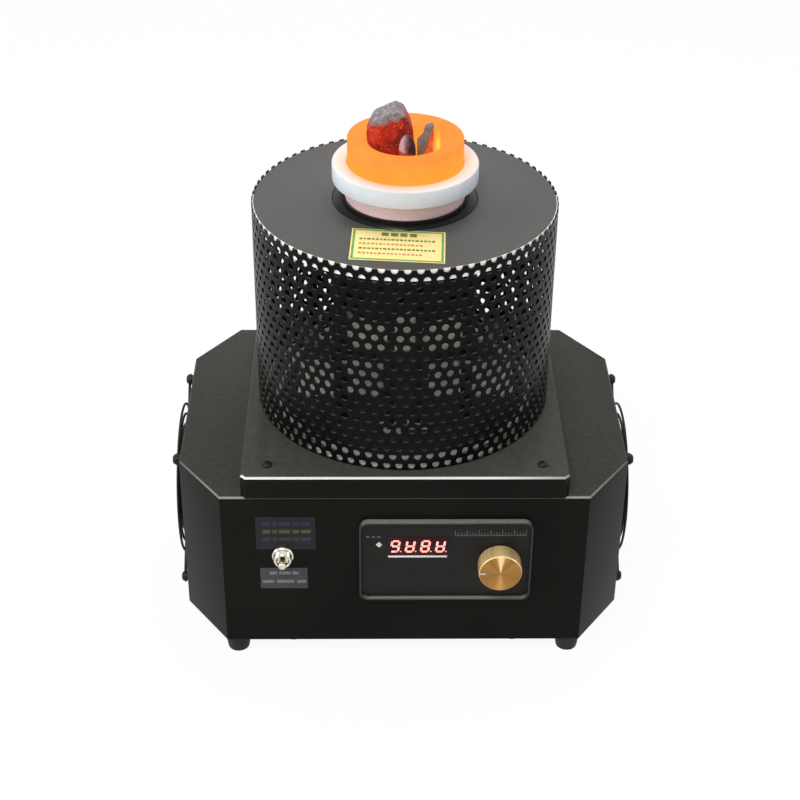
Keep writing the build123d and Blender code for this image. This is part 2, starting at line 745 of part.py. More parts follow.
with BuildPart() as lead_bushes:
    with BuildSketch(Plane.XY.offset(tray_top)):
        with Locations(*lead_places):
            Rectangle(bush_width, bush_width)
    extrude(amount=bush_height / 2)
    with BuildSketch(Plane.XY.offset(tray_top)):
        with Locations(*lead_places):
            Rectangle(bush_neck, bush_neck)
    extrude(amount=-bush_height)
    with BuildSketch(Plane.XY.offset(tray_top + bush_height)):
        with Locations(*lead_places):
            Rectangle(lead_width + 2 * screw_clearance, lead_width + 2 * screw_clearance)
    extrude(amount=-3 * bush_height, mode=Mode.SUBTRACT)
save(lead_bushes, "lead_bushes")

with BuildPart() as ceramic_cup:
    with BuildSketch(Plane.XY.offset(block_top)):
        RegularPolygon(cup_tube_radius, turned_sides)
    extrude(amount=cup_top - block_top)
    with BuildSketch(Plane.XY.offset(cup_top - cup_flange_height)):
        RegularPolygon(cup_flange_radius, turned_sides)
    extrude(amount=cup_flange_height)
    with BuildSketch(Plane.XY.offset(crucible_bottom)):
        RegularPolygon(crucible_radius + loose_gap, turned_sides)
    extrude(amount=cup_top - crucible_bottom, mode=Mode.SUBTRACT)
save(ceramic_cup, "ceramic_cup")

with BuildPart() as graphite_crucible:
    with BuildSketch(Plane.XY.offset(crucible_bottom)):
        RegularPolygon(crucible_radius, turned_sides)
    extrude(amount=crucible_top - crucible_bottom)
    with BuildSketch(Plane.XY.offset(cavity_floor)):
        RegularPolygon(mouth_radius, turned_sides)
    extrude(amount=crucible_top - cavity_floor, mode=Mode.SUBTRACT)
save(graphite_crucible, "graphite_crucible")


# lumps of hot metal standing in the melt, which is cut to fit round them
lump_bottom = melt_top - lump_sink
with BuildPart() as charge_block:
    with BuildSketch(Plane.XZ.offset(-mouth_radius * (block_lump_y + block_lump_depth / 2))):
        with BuildLine():
            Polyline(
                (mouth_radius * block_lump_outline[0][0], lump_bottom),
                *[(mouth_radius * share, melt_top + height) for share, height in block_lump_outline],
                (mouth_radius * block_lump_outline[-1][0], lump_bottom),
                close=True,
            )
        make_face()
    extrude(amount=mouth_radius * block_lump_depth)
    chamfer(charge_block.edges().filter_by(Axis.Z), length=mouth_radius * block_lump_corner)
save(charge_block, "charge_block")

with BuildPart() as charge_cone:
    with BuildSketch(Plane.XY.offset(lump_bottom)):
        with Locations((mouth_radius * cone_lump_x, mouth_radius * cone_lump_y)):
            RegularPolygon(mouth_radius * cone_lump_radius, 10)
    extrude(amount=lump_sink + cone_lump_rise)
    chamfer(charge_cone.edges().group_by(Axis.Z)[-1], length=mouth_radius * cone_lump_radius / 2)
save(charge_cone, "charge_cone")

with BuildPart() as charge_slab:
    with BuildSketch(Plane.XZ.offset(-mouth_radius * slab_lump_depth / 2)):
        with BuildLine():
            Polyline(
                (mouth_radius * slab_lump_outline[0][0], lump_bottom),
                *[(mouth_radius * share, melt_top + height) for share, height in slab_lump_outline],
                (mouth_radius * slab_lump_outline[-1][0], lump_bottom),
                close=True,
            )
        make_face()
    extrude(amount=mouth_radius * slab_lump_depth)
save(charge_slab, "charge_slab")

with BuildPart() as melt_pool:
    with BuildSketch(Plane.XY.offset(cavity_floor)):
        RegularPolygon(mouth_radius - running_gap, turned_sides)
    extrude(amount=melt_depth)
    add(charge_block.part, mode=Mode.SUBTRACT)
    add(charge_cone.part, mode=Mode.SUBTRACT)
    add(charge_slab.part, mode=Mode.SUBTRACT)
save(melt_pool, "melt_pool")

# ---- front panel -----------------------------------------------------------------------

front_face = Plane.XZ.offset(-front)        # looks out along -Y
plate_front = front_face.offset(faceplate_thickness)
bezel_opening_width = bezel_width - 2 * bezel_rim
bezel_opening_height = bezel_height - 2 * bezel_rim

with BuildPart() as control_bezel:
    with BuildSketch(front_face):
        with Locations((bezel_x, bezel_z)):
            RectangleRounded(bezel_width, bezel_height, bezel_corner)
            RectangleRounded(
                bezel_opening_width, bezel_opening_height, bezel_corner - bezel_rim, mode=Mode.SUBTRACT
            )
    extrude(amount=bezel_depth)
save(control_bezel, "control_bezel")

with BuildPart() as control_faceplate:
    with BuildSketch(front_face):
        with Locations((bezel_x, bezel_z)):
            RectangleRounded(
                bezel_opening_width - loose_gap, bezel_opening_height - loose_gap, bezel_corner - bezel_rim
            )
        with Locations((window_x, window_z)):
            Rectangle(window_width + loose_gap, window_height + loose_gap, mode=Mode.SUBTRACT)
        with Locations((lamp_x, lamp_z)):
            Rectangle(lamp_width + loose_gap, lamp_width + loose_gap, rotation=45, mode=Mode.SUBTRACT)
        with Locations((knob_x, knob_z)):
            RegularPolygon(
                pot_bush_radius + screw_clearance, pot_sides, major_radius=False, mode=Mode.SUBTRACT
            )
    extrude(amount=faceplate_thickness)
save(control_faceplate, "control_faceplate")

with BuildPart() as display_window:
    with BuildSketch(front_face):
        with Locations((window_x, window_z)):
            Rectangle(window_width, window_height)
    extrude(amount=faceplate_thickness + window_proud)
    chamfer(display_window.edges().group_by(Axis.Y)[0], length=window_proud / 2)
save(display_window, "display_window")

with BuildPart() as display_module:
    with BuildSketch(front_face):
        with Locations((window_x, window_z)):
            Rectangle(window_width + bezel_rim, window_height + bezel_rim)
    extrude(amount=-module_depth)
save(display_module, "display_module")

with BuildPart() as status_lamp:
    with BuildSketch(front_face):
        with Locations((lamp_x, lamp_z)):
            Rectangle(lamp_width, lamp_width, rotation=45)
    extrude(amount=faceplate_thickness + window_proud)
    with BuildSketch(front_face):
        with Locations((lamp_x, lamp_z)):
            Rectangle(2 * lamp_width, 2 * lamp_width)
    extrude(amount=-module_depth)
save(status_lamp, "status_lamp")

# the board that carries the display, the lamp and the potentiometer
with BuildPart() as controller_board:
    with BuildSketch(front_face.offset(-module_depth)):
        with Locations((bezel_x, bezel_z)):
            Rectangle(bezel_opening_width - 5 * bezel_rim, bezel_opening_height - 5 * bezel_rim)
    extrude(amount=-board_thickness)
save(controller_board, "controller_board")

pot_bush_length = faceplate_thickness + pot_nut_height + screw_clearance
with BuildPart() as potentiometer:
    with BuildSketch(front_face):
        with Locations((knob_x, knob_z)):
            Rectangle(pot_body_width, pot_body_width)
    extrude(amount=-module_depth)
    with BuildSketch(front_face):
        with Locations((knob_x, knob_z)):
            RegularPolygon(pot_bush_radius, pot_sides)
    extrude(amount=pot_bush_length)
    with BuildSketch(front_face.offset(pot_bush_length)):
        with Locations((knob_x, knob_z)):
            RegularPolygon(pot_shaft_radius + running_gap, pot_sides, major_radius=False)
    extrude(amount=-(pot_bush_length + module_depth / 2), mode=Mode.SUBTRACT)
save(potentiometer, "potentiometer")

with BuildPart() as pot_nut:
    with BuildSketch(plate_front):
        with Locations((knob_x, knob_z)):
            RegularPolygon(pot_nut_radius, 6)
            RegularPolygon(pot_bush_radius + running_gap, pot_sides, mode=Mode.SUBTRACT)
    extrude(amount=pot_nut_height)
save(pot_nut, "pot_nut")

knob_back = faceplate_thickness + 2 * loose_gap
knob_bore_depth = knob_length - knob_recess - knob_front_wall
knob_plane = Plane(origin=(knob_x, front - knob_back, knob_z), x_dir=(1, 0, 0), z_dir=(0, -1, 0))
with BuildPart() as pot_shaft:
    with BuildSketch(front_face.offset(-module_depth / 2 + loose_gap)):
        with Locations((knob_x, knob_z)):
            RegularPolygon(pot_shaft_radius, pot_sides)
    extrude(amount=module_depth / 2 - loose_gap + knob_back + knob_recess + knob_bore_depth - loose_gap)
save(pot_shaft, "pot_shaft")

with BuildPart() as power_knob:
    flute_points = [
        (
            (knob_radius - knob_flute_depth * (corner % 2)) * cos(pi * corner / knob_flutes),
            (knob_radius - knob_flute_depth * (corner % 2)) * sin(pi * corner / knob_flutes),
        )
        for corner in range(2 * knob_flutes)
    ]
    with BuildSketch(knob_plane):
        with BuildLine():
            Polyline(*flute_points, close=True)
        make_face()
        RegularPolygon(pot_shaft_radius + running_gap, pot_sides, major_radius=False, mode=Mode.SUBTRACT)
    extrude(amount=knob_recess + knob_bore_depth)
    with BuildSketch(knob_plane):
        RegularPolygon(knob_recess_radius, pot_sides)
    extrude(amount=knob_recess, mode=Mode.SUBTRACT)
    with BuildSketch(knob_plane.offset(knob_recess + knob_bore_depth)):
        RegularPolygon(knob_radius - knob_flute_depth, knob_flutes)
    extrude(amount=knob_length - knob_recess - knob_bore_depth)
save(power_knob, "power_knob")

toggle_pivot = Vector(toggle_x, front - toggle_bush_length / 3, toggle_z)
with BuildPart() as toggle_body:
    with BuildSketch(front_face.offset(-sheet)):
        with Locations((toggle_x, toggle_z)):
            Rectangle(toggle_body_width, toggle_body_height)
    extrude(amount=-toggle_body_depth)
    with BuildSketch(front_face.offset(-sheet)):
        with Locations((toggle_x, toggle_z)):
            RegularPolygon(toggle_bush_radius, toggle_bush_sides)
    extrude(amount=sheet + toggle_bush_length)
    with BuildSketch(front_face.offset(toggle_bush_length)):
        with Locations((toggle_x, toggle_z)):
            RegularPolygon(toggle_bore_radius, toggle_bush_sides)
    extrude(amount=-toggle_bush_length, mode=Mode.SUBTRACT)
    # cross hole that carries the lever's pivot pin
    with BuildSketch(Plane.YZ.offset(toggle_x)):
        with Locations((toggle_pivot.Y, toggle_pivot.Z)):
            RegularPolygon(pivot_pin_radius + running_gap, screw_sides, major_radius=False)
    extrude(amount=toggle_bush_radius, both=True, mode=Mode.SUBTRACT)
save(toggle_body, "toggle_body")

with BuildPart() as toggle_nut:
    with BuildSketch(front_face):
        with Locations((toggle_x, toggle_z)):
            RegularPolygon(toggle_nut_radius, 18)
            RegularPolygon(toggle_bush_radius + running_gap, toggle_bush_sides, mode=Mode.SUBTRACT)
    extrude(amount=toggle_nut_height)
save(toggle_nut, "toggle_nut")

lever_aim = Vector(0, -cos(radians(lever_tilt)), -sin(radians(lever_tilt)))
lever_plane = Plane(origin=toggle_pivot, x_dir=(1, 0, 0), z_dir=lever_aim)
with BuildPart() as toggle_lever:
    with BuildSketch(lever_plane.offset(-lever_root_radius)):
        RegularPolygon(lever_root_radius, pot_sides)
    with BuildSketch(lever_plane.offset(lever_length)):
        RegularPolygon(lever_tip_radius, pot_sides)
    loft(ruled=True)
    chamfer(toggle_lever.faces().sort_by(Axis.Y)[0].edges(), length=lever_tip_radius / 3)
    with BuildSketch(Plane.YZ.offset(toggle_x)):
        with Locations((toggle_pivot.Y, toggle_pivot.Z)):
            RegularPolygon(pivot_pin_radius, screw_sides)
    extrude(amount=toggle_bush_radius - 2 * loose_gap, both=True)
save(toggle_lever, "toggle_lever")

# ---- rear panel ------------------------------------------------------------------------

rear_face = Plane.XZ.offset(-rear)          # normal points into the cabinet

with BuildPart() as power_inlet:
    with BuildSketch(rear_face):
        with Locations((inlet_x, inlet_z)):
            RectangleRounded(inlet_flange_width, inlet_flange_height, inlet_corner)
            with GridLocations(inlet_screw_spacing, 0, 2, 1):
                RegularPolygon(screw_hole, screw_sides, major_radius=False, mode=Mode.SUBTRACT)
    extrude(amount=-inlet_flange_thickness)
    with BuildSketch(rear_face):
        with Locations((inlet_x, inlet_z)):
            Rectangle(inlet_body_width, inlet_body_height)
    extrude(amount=inlet_body_depth)
    with BuildSketch(rear_face.offset(-inlet_flange_thickness)):
        with Locations((inlet_x, inlet_z)):
            Rectangle(inlet_body_width - 2 * socket_side, inlet_body_height - 2 * socket_end)
    extrude(amount=socket_depth, mode=Mode.SUBTRACT)
save(power_inlet, "power_inlet")

with BuildPart() as inlet_pins:
    with BuildSketch(rear_face.offset(socket_depth - inlet_flange_thickness)):
        with Locations(*[(inlet_x + place, inlet_z - pin_drop) for place in (-pin_spacing, pin_spacing)]):
            Rectangle(pin_thickness, pin_width)
        with Locations((inlet_x, inlet_z + pin_drop)):
            Rectangle(pin_thickness, pin_width)
    extrude(amount=-(socket_depth - pin_thickness))
save(inlet_pins, "inlet_pins")

with BuildPart() as inlet_screws:
    with BuildSketch(rear_face.offset(-inlet_flange_thickness)):
        with Locations((inlet_x, inlet_z)):
            with GridLocations(inlet_screw_spacing, 0, 2, 1):
                RegularPolygon(head_radius, 6)
    extrude(amount=-head_height)
    with BuildSketch(rear_face.offset(-inlet_flange_thickness)):
        with Locations((inlet_x, inlet_z)):
            with GridLocations(inlet_screw_spacing, 0, 2, 1):
                RegularPolygon(screw_radius, 4)
    extrude(amount=inlet_flange_thickness + 4 * sheet)
save(inlet_screws, "inlet_screws")

rocker_half_height = rocker_height / 2
rocker_pivot_y = rear - rocker_flange
with BuildPart() as rocker_frame:
    with BuildSketch(rear_face):
        with Locations((rocker_x, inlet_z)):
            Rectangle(rocker_frame_width, rocker_frame_height)
    extrude(amount=-rocker_flange)
    with BuildSketch(rear_face):
        with Locations((rocker_x, inlet_z)):
            Rectangle(
                rocker_frame_width - 2 * sheet - 2 * loose_gap, rocker_frame_height - 2 * sheet - 2 * loose_gap
            )
    extrude(amount=rocker_body_depth)
    with BuildSketch(rear_face.offset(-rocker_flange)):
        with Locations((rocker_x, inlet_z)):
            Rectangle(rocker_width + 2 * loose_gap, rocker_height + 2 * rocker_swing)
    extrude(amount=rocker_body_depth - rocker_flange, mode=Mode.SUBTRACT)
    with BuildSketch(Plane.YZ.offset(rocker_x)):
        with Locations((rocker_pivot_y, inlet_z)):
            RegularPolygon(pivot_pin_radius + running_gap, screw_sides, major_radius=False)
    extrude(amount=rocker_width / 2 + rocker_flange, both=True, mode=Mode.SUBTRACT)
save(rocker_frame, "rocker_frame")

rocker_turn = radians(-rocker_tilt)
rocker_plane = Plane(
    origin=(rocker_x, rocker_pivot_y, inlet_z),
    x_dir=(0, cos(rocker_turn), sin(rocker_turn)),
    z_dir=(1, 0, 0),
)
with BuildPart() as mains_rocker:
    with BuildSketch(rocker_plane):
        with BuildLine():
            Polyline(
                (rocker_dip, 0),
                *[(out, share * rocker_half_height) for out, share in rocker_profile],
                *[(out, -share * rocker_half_height) for out, share in reversed(rocker_profile)],
                close=True,
            )
        make_face()
    extrude(amount=rocker_width / 2, both=True)
    with BuildSketch(rocker_plane):
        RegularPolygon(pivot_pin_radius, screw_sides)
    extrude(amount=rocker_width / 2 + rocker_flange - 2 * loose_gap, both=True)
save(mains_rocker, "mains_rocker")

# ---- electronics -----------------------------------------------------------------------

board_bottom = board_top - board_thickness
with BuildPart() as power_supply:
    with BuildSketch(Plane.XY.offset(base_bottom)):
        with Locations((0, supply_y)):
            Rectangle(supply_width, supply_depth)
    extrude(amount=supply_height)
    chamfer(power_supply.edges().group_by(Axis.Z)[-1], length=sheet)
save(power_supply, "power_supply")

with BuildPart() as board_standoffs:
    with BuildSketch(Plane.XY.offset(supply_top)):
        with Locations((0, board_y)):
            with GridLocations(board_width - 3 * standoff_height, board_depth - 2 * standoff_height, 2, 2):
                RegularPolygon(standoff_height / 2, 6)
    extrude(amount=standoff_height)
save(board_standoffs, "board_standoffs")

with BuildPart() as driver_board:
    with BuildSketch(Plane.XY.offset(board_bottom)):
        with Locations((0, board_y)):
            Rectangle(board_width, board_depth)
    extrude(amount=board_thickness)
save(driver_board, "driver_board")

lead_middle_y = (lead_back_y + lead_front_y) / 2
with BuildPart() as capacitor_bank:
    with BuildSketch(Plane.XY.offset(board_top)):
        with Locations((0, lead_middle_y)):
            with GridLocations(capacitor_spacing, 0, 4, 1):
                Rectangle(capacitor_width, capacitor_depth)
    extrude(amount=capacitor_height)
save(capacitor_bank, "capacitor_bank")

busbar_length = 2 * capacitor_spacing - busbar_thickness
with BuildPart() as busbars:
    with BuildSketch(Plane.XY.offset(capacitor_top)):
        with Locations((-capacitor_spacing, lead_middle_y), (capacitor_spacing, lead_middle_y)):
            Rectangle(busbar_length, capacitor_depth - busbar_thickness)
    extrude(amount=busbar_thickness)
save(busbars, "busbars")

with BuildPart() as heat_sinks:
    with BuildSketch(Plane.XY.offset(board_top)):
        with Locations((-sink_x, sink_y), (sink_x, sink_y)):
            Rectangle(sink_width, sink_spine, align=(Align.CENTER, Align.MIN))
        for sink in (-sink_x, sink_x):
            with Locations((sink, sink_y + sink_spine + (sink_depth - sink_spine) / 2)):
                with GridLocations((sink_width - sink_fin) / (sink_fins - 1), 0, sink_fins, 1):
                    Rectangle(sink_fin, sink_depth - sink_spine)
    extrude(amount=sink_height)
save(heat_sinks, "heat_sinks")

with BuildPart() as chokes:
    with BuildSketch(Plane.XY.offset(board_top)):
        with Locations((-choke_x, choke_y), (choke_x, choke_y)):
            RegularPolygon(choke_radius, 12)
            RegularPolygon(choke_radius / 2, 12, mode=Mode.SUBTRACT)
    extrude(amount=choke_height)
save(chokes, "chokes")
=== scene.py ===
from math import cos, pi, radians, sin

import bpy
from mathutils import Matrix, Vector


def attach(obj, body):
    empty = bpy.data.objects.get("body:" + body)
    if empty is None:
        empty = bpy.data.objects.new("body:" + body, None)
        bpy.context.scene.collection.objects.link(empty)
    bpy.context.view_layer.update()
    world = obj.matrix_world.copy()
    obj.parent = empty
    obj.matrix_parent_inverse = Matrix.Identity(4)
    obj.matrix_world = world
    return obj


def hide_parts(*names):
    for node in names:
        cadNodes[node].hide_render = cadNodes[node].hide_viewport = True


# Looks of an electric gold melting furnace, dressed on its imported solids.
# Sizes in the dictionaries are millimetres in the solids' own frame.

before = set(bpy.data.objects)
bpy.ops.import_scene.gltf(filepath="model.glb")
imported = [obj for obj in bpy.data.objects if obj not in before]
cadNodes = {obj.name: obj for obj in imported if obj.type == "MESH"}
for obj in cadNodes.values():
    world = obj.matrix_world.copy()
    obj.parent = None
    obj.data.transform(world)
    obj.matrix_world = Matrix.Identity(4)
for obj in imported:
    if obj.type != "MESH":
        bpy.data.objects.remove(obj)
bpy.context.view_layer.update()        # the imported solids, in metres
mm = 0.001
print("frame loaded:", len(cadNodes), "nodes")


# ---- small helpers for modelling by hand

def deselectAll():
    if bpy.context.mode != "OBJECT":
        bpy.ops.object.mode_set(mode="OBJECT")
    bpy.ops.object.select_all(action="DESELECT")


def pick(piece):
    deselectAll()
    piece.select_set(True)
    bpy.context.view_layer.objects.active = piece


def inEditMode(piece, action):
    pick(piece)
    bpy.ops.object.mode_set(mode="EDIT")
    bpy.ops.mesh.select_all(action="SELECT")
    action()
    bpy.ops.object.mode_set(mode="OBJECT")


def applyPlace(piece):
    pick(piece)
    bpy.ops.object.transform_apply(location=True, rotation=True, scale=True)


def addModifier(piece, kind, **settings):
    modifier = piece.modifiers.new(kind.lower(), kind)
    for name, value in settings.items():
        setattr(modifier, name, value)
    pick(piece)
    bpy.ops.object.modifier_apply(modifier=modifier.name)


def joined(pieces):
    pick(pieces[0])
    for piece in pieces:
        piece.select_set(True)
    bpy.ops.object.join()
    return bpy.context.object


def copyOf(piece, turn=None, move=None):
    twin = bpy.data.objects.new(piece.name, piece.data.copy())
    bpy.context.scene.collection.objects.link(twin)
    if turn:
        twin.data.transform(turn)
    if move:
        twin.data.transform(Matrix.Translation([value * mm for value in move]))
    return twin


def ringOf(piece, count, axis="Z", middle=(0, 0, 0)):
    # copies of a piece set evenly round an axis, joined into one
    centre = Matrix.Translation([value * mm for value in middle])
    copies = [piece]
    for step in range(1, count):
        turn = centre @ Matrix.Rotation(2 * pi * step / count, 4, axis) @ centre.inverted()
        copies.append(copyOf(piece, turn))
    return joined(copies)


def turned(profile, steps=64):
    # a lathe: one vertex is extruded along the profile, (radius, height) in mm, and spun round Z
    deselectAll()
    bpy.ops.mesh.primitive_plane_add(size=mm)
    piece = bpy.context.object
    bpy.ops.object.mode_set(mode="EDIT")
    bpy.ops.mesh.select_all(action="SELECT")
    bpy.ops.mesh.merge(type="CENTER")
    radius, height = profile[0]
    bpy.ops.transform.translate(value=(radius * mm, 0, height * mm))
    for nextRadius, nextHeight in [*profile[1:], profile[0]]:
        shift = ((nextRadius - radius) * mm, 0, (nextHeight - height) * mm)
        bpy.ops.mesh.extrude_region_move(TRANSFORM_OT_translate={"value": shift})
        radius, height = nextRadius, nextHeight
    bpy.ops.mesh.select_all(action="SELECT")
    bpy.ops.mesh.remove_doubles(threshold=1e-6)
    bpy.ops.mesh.select_all(action="SELECT")
    bpy.ops.mesh.spin(steps=steps, angle=2 * pi, center=(0, 0, 0), axis=(0, 0, 1))
    bpy.ops.mesh.select_all(action="SELECT")
    bpy.ops.mesh.remove_doubles(threshold=1e-6)
    bpy.ops.mesh.normals_make_consistent(inside=False)
    bpy.ops.object.mode_set(mode="OBJECT")
    return piece


def roundedBlock(size, place, bevel=0.3, segments=2, turn=(0, 0, 0)):
    # a cube sized and placed, with its edges rounded
    deselectAll()
    bpy.ops.mesh.primitive_cube_add(
        size=1, location=[value * mm for value in place], rotation=turn, scale=[value * mm for value in size]
    )
    piece = bpy.context.object
    applyPlace(piece)
    if bevel:
        addModifier(piece, "BEVEL", width=bevel * mm, segments=segments, limit_method="ANGLE")
    return piece


def softenedCopy(node, width, segments=3, angle=25):
    # a node's own shape with its sharp edges rounded
    piece = bpy.data.objects.new(node + "_soft", cadNodes[node].data.copy())
    bpy.context.scene.collection.objects.link(piece)

    def clean():
        bpy.ops.mesh.remove_doubles(threshold=1e-6)
        bpy.ops.mesh.dissolve_limited(angle_limit=radians(1))

    inEditMode(piece, clean)
    addModifier(
        piece, "BEVEL", width=width * mm, segments=segments, limit_method="ANGLE",
        angle_limit=radians(angle), use_clamp_overlap=True,
    )
    return piece


def settle(piece, name, body, material, replaced=(), smooth=35):
    # the last step of each piece: place applied, named, dressed, and carried by its body
    applyPlace(piece)
    piece.name = name
    piece.data.name = name
    piece.data.materials.clear()
    piece.data.materials.append(material)
    for face in piece.data.polygons:
        face.material_index = 0
    if smooth:
        pick(piece)
        bpy.ops.object.shade_smooth_by_angle(angle=radians(smooth))
    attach(piece, body)
    if replaced:
        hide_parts(*replaced)
    return piece


# ---- finishes

def screenTone(red, green, blue):
    # a colour as seen on the screen, 0 to 255, turned into the renderer's linear colour
    def channel(value):
        value /= 255
        return value / 12.92 if value <= 0.04045 else ((value + 0.055) / 1.055) ** 2.4

    return (channel(red), channel(green), channel(blue), 1.0)


class Finish:
    # one procedural material, built on Object coordinates
    def __init__(self, name, metallic=0.0, specular=0.5):
        self.material = bpy.data.materials.new(name)
        self.material.use_nodes = True
        self.tree = self.material.node_tree
        self.shader = self.tree.nodes["Principled BSDF"]
        self.shader.inputs["Metallic"].default_value = metallic
        self.shader.inputs["Specular IOR Level"].default_value = specular
        self.place = self.tree.nodes.new("ShaderNodeTexCoord").outputs["Object"]

    def node(self, kind, **settings):
        made = self.tree.nodes.new(kind)
        for name, value in settings.items():
            setattr(made, name, value)
        return made

    def link(self, start, end):
        self.tree.links.new(start, end)

    def noise(self, scale, detail=3.0, rough=0.5, stretch=None, distortion=0.0):
        # cloudy pattern; scale is in features per metre
        made = self.node("ShaderNodeTexNoise")
        made.inputs["Scale"].default_value = scale
        made.inputs["Detail"].default_value = detail
        made.inputs["Roughness"].default_value = rough
        made.inputs["Distortion"].default_value = distortion
        if stretch:
            mapping = self.node("ShaderNodeMapping")
            mapping.inputs["Scale"].default_value = stretch
            self.link(self.place, mapping.inputs["Vector"])
            self.link(mapping.outputs["Vector"], made.inputs["Vector"])
        else:
            self.link(self.place, made.inputs["Vector"])
        return made.outputs["Fac"]

    def cells(self, scale):
        made = self.node("ShaderNodeTexVoronoi")
        made.inputs["Scale"].default_value = scale
        self.link(self.place, made.inputs["Vector"])
        return made.outputs["Distance"]

    def ramp(self, factor, stops):
        # stops: (position, colour) pairs
        made = self.node("ShaderNodeValToRGB")
        points = made.color_ramp.elements
        while len(points) < len(stops):
            points.new(0.5)
        for point, (position, tone) in zip(points, stops):
            point.position = position
            point.color = tone
        self.link(factor, made.inputs["Fac"])
        return made.outputs["Color"]

    def span(self, factor, low, high, fromLow=0.0, fromHigh=1.0):
        made = self.node("ShaderNodeMapRange")
        made.inputs["From Min"].default_value = fromLow
        made.inputs["From Max"].default_value = fromHigh
        made.inputs["To Min"].default_value = low
        made.inputs["To Max"].default_value = high
        self.link(factor, made.inputs["Value"])
        return made.outputs["Result"]

    def mixTone(self, factor, first, second, blend="MIX"):
        made = self.node("ShaderNodeMix", data_type="RGBA", blend_type=blend)
        self.link(factor, made.inputs["Factor"])
        for socketName, value in (("A_Color", first), ("B_Color", second)):
            socket = next(s for s in made.inputs if s.identifier == socketName)
            if isinstance(value, tuple):
                socket.default_value = value
            else:
                self.link(value, socket)
        return next(s for s in made.outputs if s.identifier == "Result_Color")

    def sum(self, first, second, operation="ADD"):
        made = self.node("ShaderNodeMath", operation=operation)
        for socket, value in zip(made.inputs, (first, second)):
            if isinstance(value, (int, float)):
                socket.default_value = value
            else:
                self.link(value, socket)
        return made.outputs["Value"]

    def along(self, letter):
        made = self.node("ShaderNodeSeparateXYZ")
        self.link(self.place, made.inputs["Vector"])
        return made.outputs[letter]

    def facing(self, letter):
        # how far the surface looks along an axis of the part
        normal = self.node("ShaderNodeTexCoord").outputs["Normal"]
        made = self.node("ShaderNodeSeparateXYZ")
        self.link(normal, made.inputs["Vector"])
        return made.outputs[letter]

    def colour(self, output):
        self.link(output, self.shader.inputs["Base Color"])

    def roughness(self, output):
        self.link(output, self.shader.inputs["Roughness"])

    def glow(self, output, strength):
        self.link(output, self.shader.inputs["Emission Color"])
        if isinstance(strength, (int, float)):
            self.shader.inputs["Emission Strength"].default_value = strength
        else:
            self.link(strength, self.shader.inputs["Emission Strength"])

    def bump(self, height, depth, strength=1.0):
        # depth is in mm; bumps made one after another add up
        made = self.node("ShaderNodeBump")
        made.inputs["Strength"].default_value = strength
        made.inputs["Distance"].default_value = depth * mm
        self.link(height, made.inputs["Height"])
        before = self.shader.inputs["Normal"].links
        if before:
            self.link(before[0].from_socket, made.inputs["Normal"])
        self.link(made.outputs["Normal"], self.shader.inputs["Normal"])


def paintedSteel(name, dark, light, roughness, specular, grain, depth, dustAndLitTop=None, paintedEdgeHighlight=None, highlightFade=1.0):
    # sprayed or powder coated sheet: faint clouds, fine orange peel, a lighter tone on what looks up
    # that is dust and painted top light, and a painted highlight along rounded edges that look forward and up
    finish = Finish(name, specular=specular)
    clouds = finish.noise(14, 4)
    tone = finish.ramp(clouds, [(0.3, screenTone(*dark)), (0.7, screenTone(*light))])
    # faces that look up get a lighter tone: dust, and painted light on the tops
    if dustAndLitTop:
        specks = finish.noise(260, 5, 0.6)
        upward = finish.span(finish.facing("Z"), 0, 1, 0.5, 1.0)
        dustAndLitTopMask = finish.sum(upward, finish.span(specks, 0.35, 1), "MULTIPLY")
        tone = finish.mixTone(dustAndLitTopMask, tone, screenTone(*dustAndLitTop))
    # painted highlight: a pale tone on rounded edges that lean forward and up, fading towards +X
    if paintedEdgeHighlight:
        leaning = finish.span(finish.facing("Z"), 0, 1, 0.42, 0.6)
        ahead = finish.span(finish.facing("Y"), 1, 0, -0.5, -0.3)
        highlightMask = finish.sum(leaning, ahead, "MULTIPLY")
        highlightMask = finish.sum(highlightMask, finish.span(finish.along("X"), 1, highlightFade, 60 * mm, 115 * mm), "MULTIPLY")
        tone = finish.mixTone(highlightMask, tone, screenTone(*paintedEdgeHighlight))
    finish.colour(tone)
    finish.roughness(finish.span(finish.noise(60, 3), *roughness))
    finish.bump(finish.noise(grain, 2), depth)
    finish.bump(finish.noise(18, 2), depth * 3)
    return finish.material


def bareMetal(name, dark, light, roughness, stretch=(1, 1, 1), metallic=1.0, grain=300, depth=0.01):
    # plated or machined metal with its grain
    finish = Finish(name, metallic=metallic)
    grainLines = finish.noise(grain, 4, 0.6, stretch)
    finish.colour(finish.ramp(grainLines, [(0.3, screenTone(*dark)), (0.72, screenTone(*light))]))
    finish.roughness(finish.span(finish.noise(45, 4), *roughness))
    finish.bump(grainLines, depth)
    return finish.material


def mouldedPlastic(name, dark, light, roughness, specular=0.4, grain=1500, depth=0.01):
    # moulded part with a fine spark-eroded skin
    finish = Finish(name, specular=specular)
    finish.colour(finish.ramp(finish.noise(30, 4), [(0.3, screenTone(*dark)), (0.7, screenTone(*light))]))
    finish.roughness(finish.span(finish.noise(90, 3), *roughness))
    finish.bump(finish.noise(grain, 2), depth)
    return finish.material


# cabinet and tray: the upward tone is dust with painted top light, the last tone a painted edge highlight
cabinetCoat = paintedSteel(
    "cabinetCoat", (15, 15, 12), (21, 21, 18), (0.24, 0.34), 0.045, 900, 0.02, (66, 66, 61),
    paintedEdgeHighlight=(134, 134, 129),
)
trayCoat = paintedSteel(
    "trayCoat", (15, 15, 12), (21, 21, 18), (0.24, 0.34), 0.045, 900, 0.02, (80, 80, 75),
    paintedEdgeHighlight=(216, 216, 211), highlightFade=0.3,
)
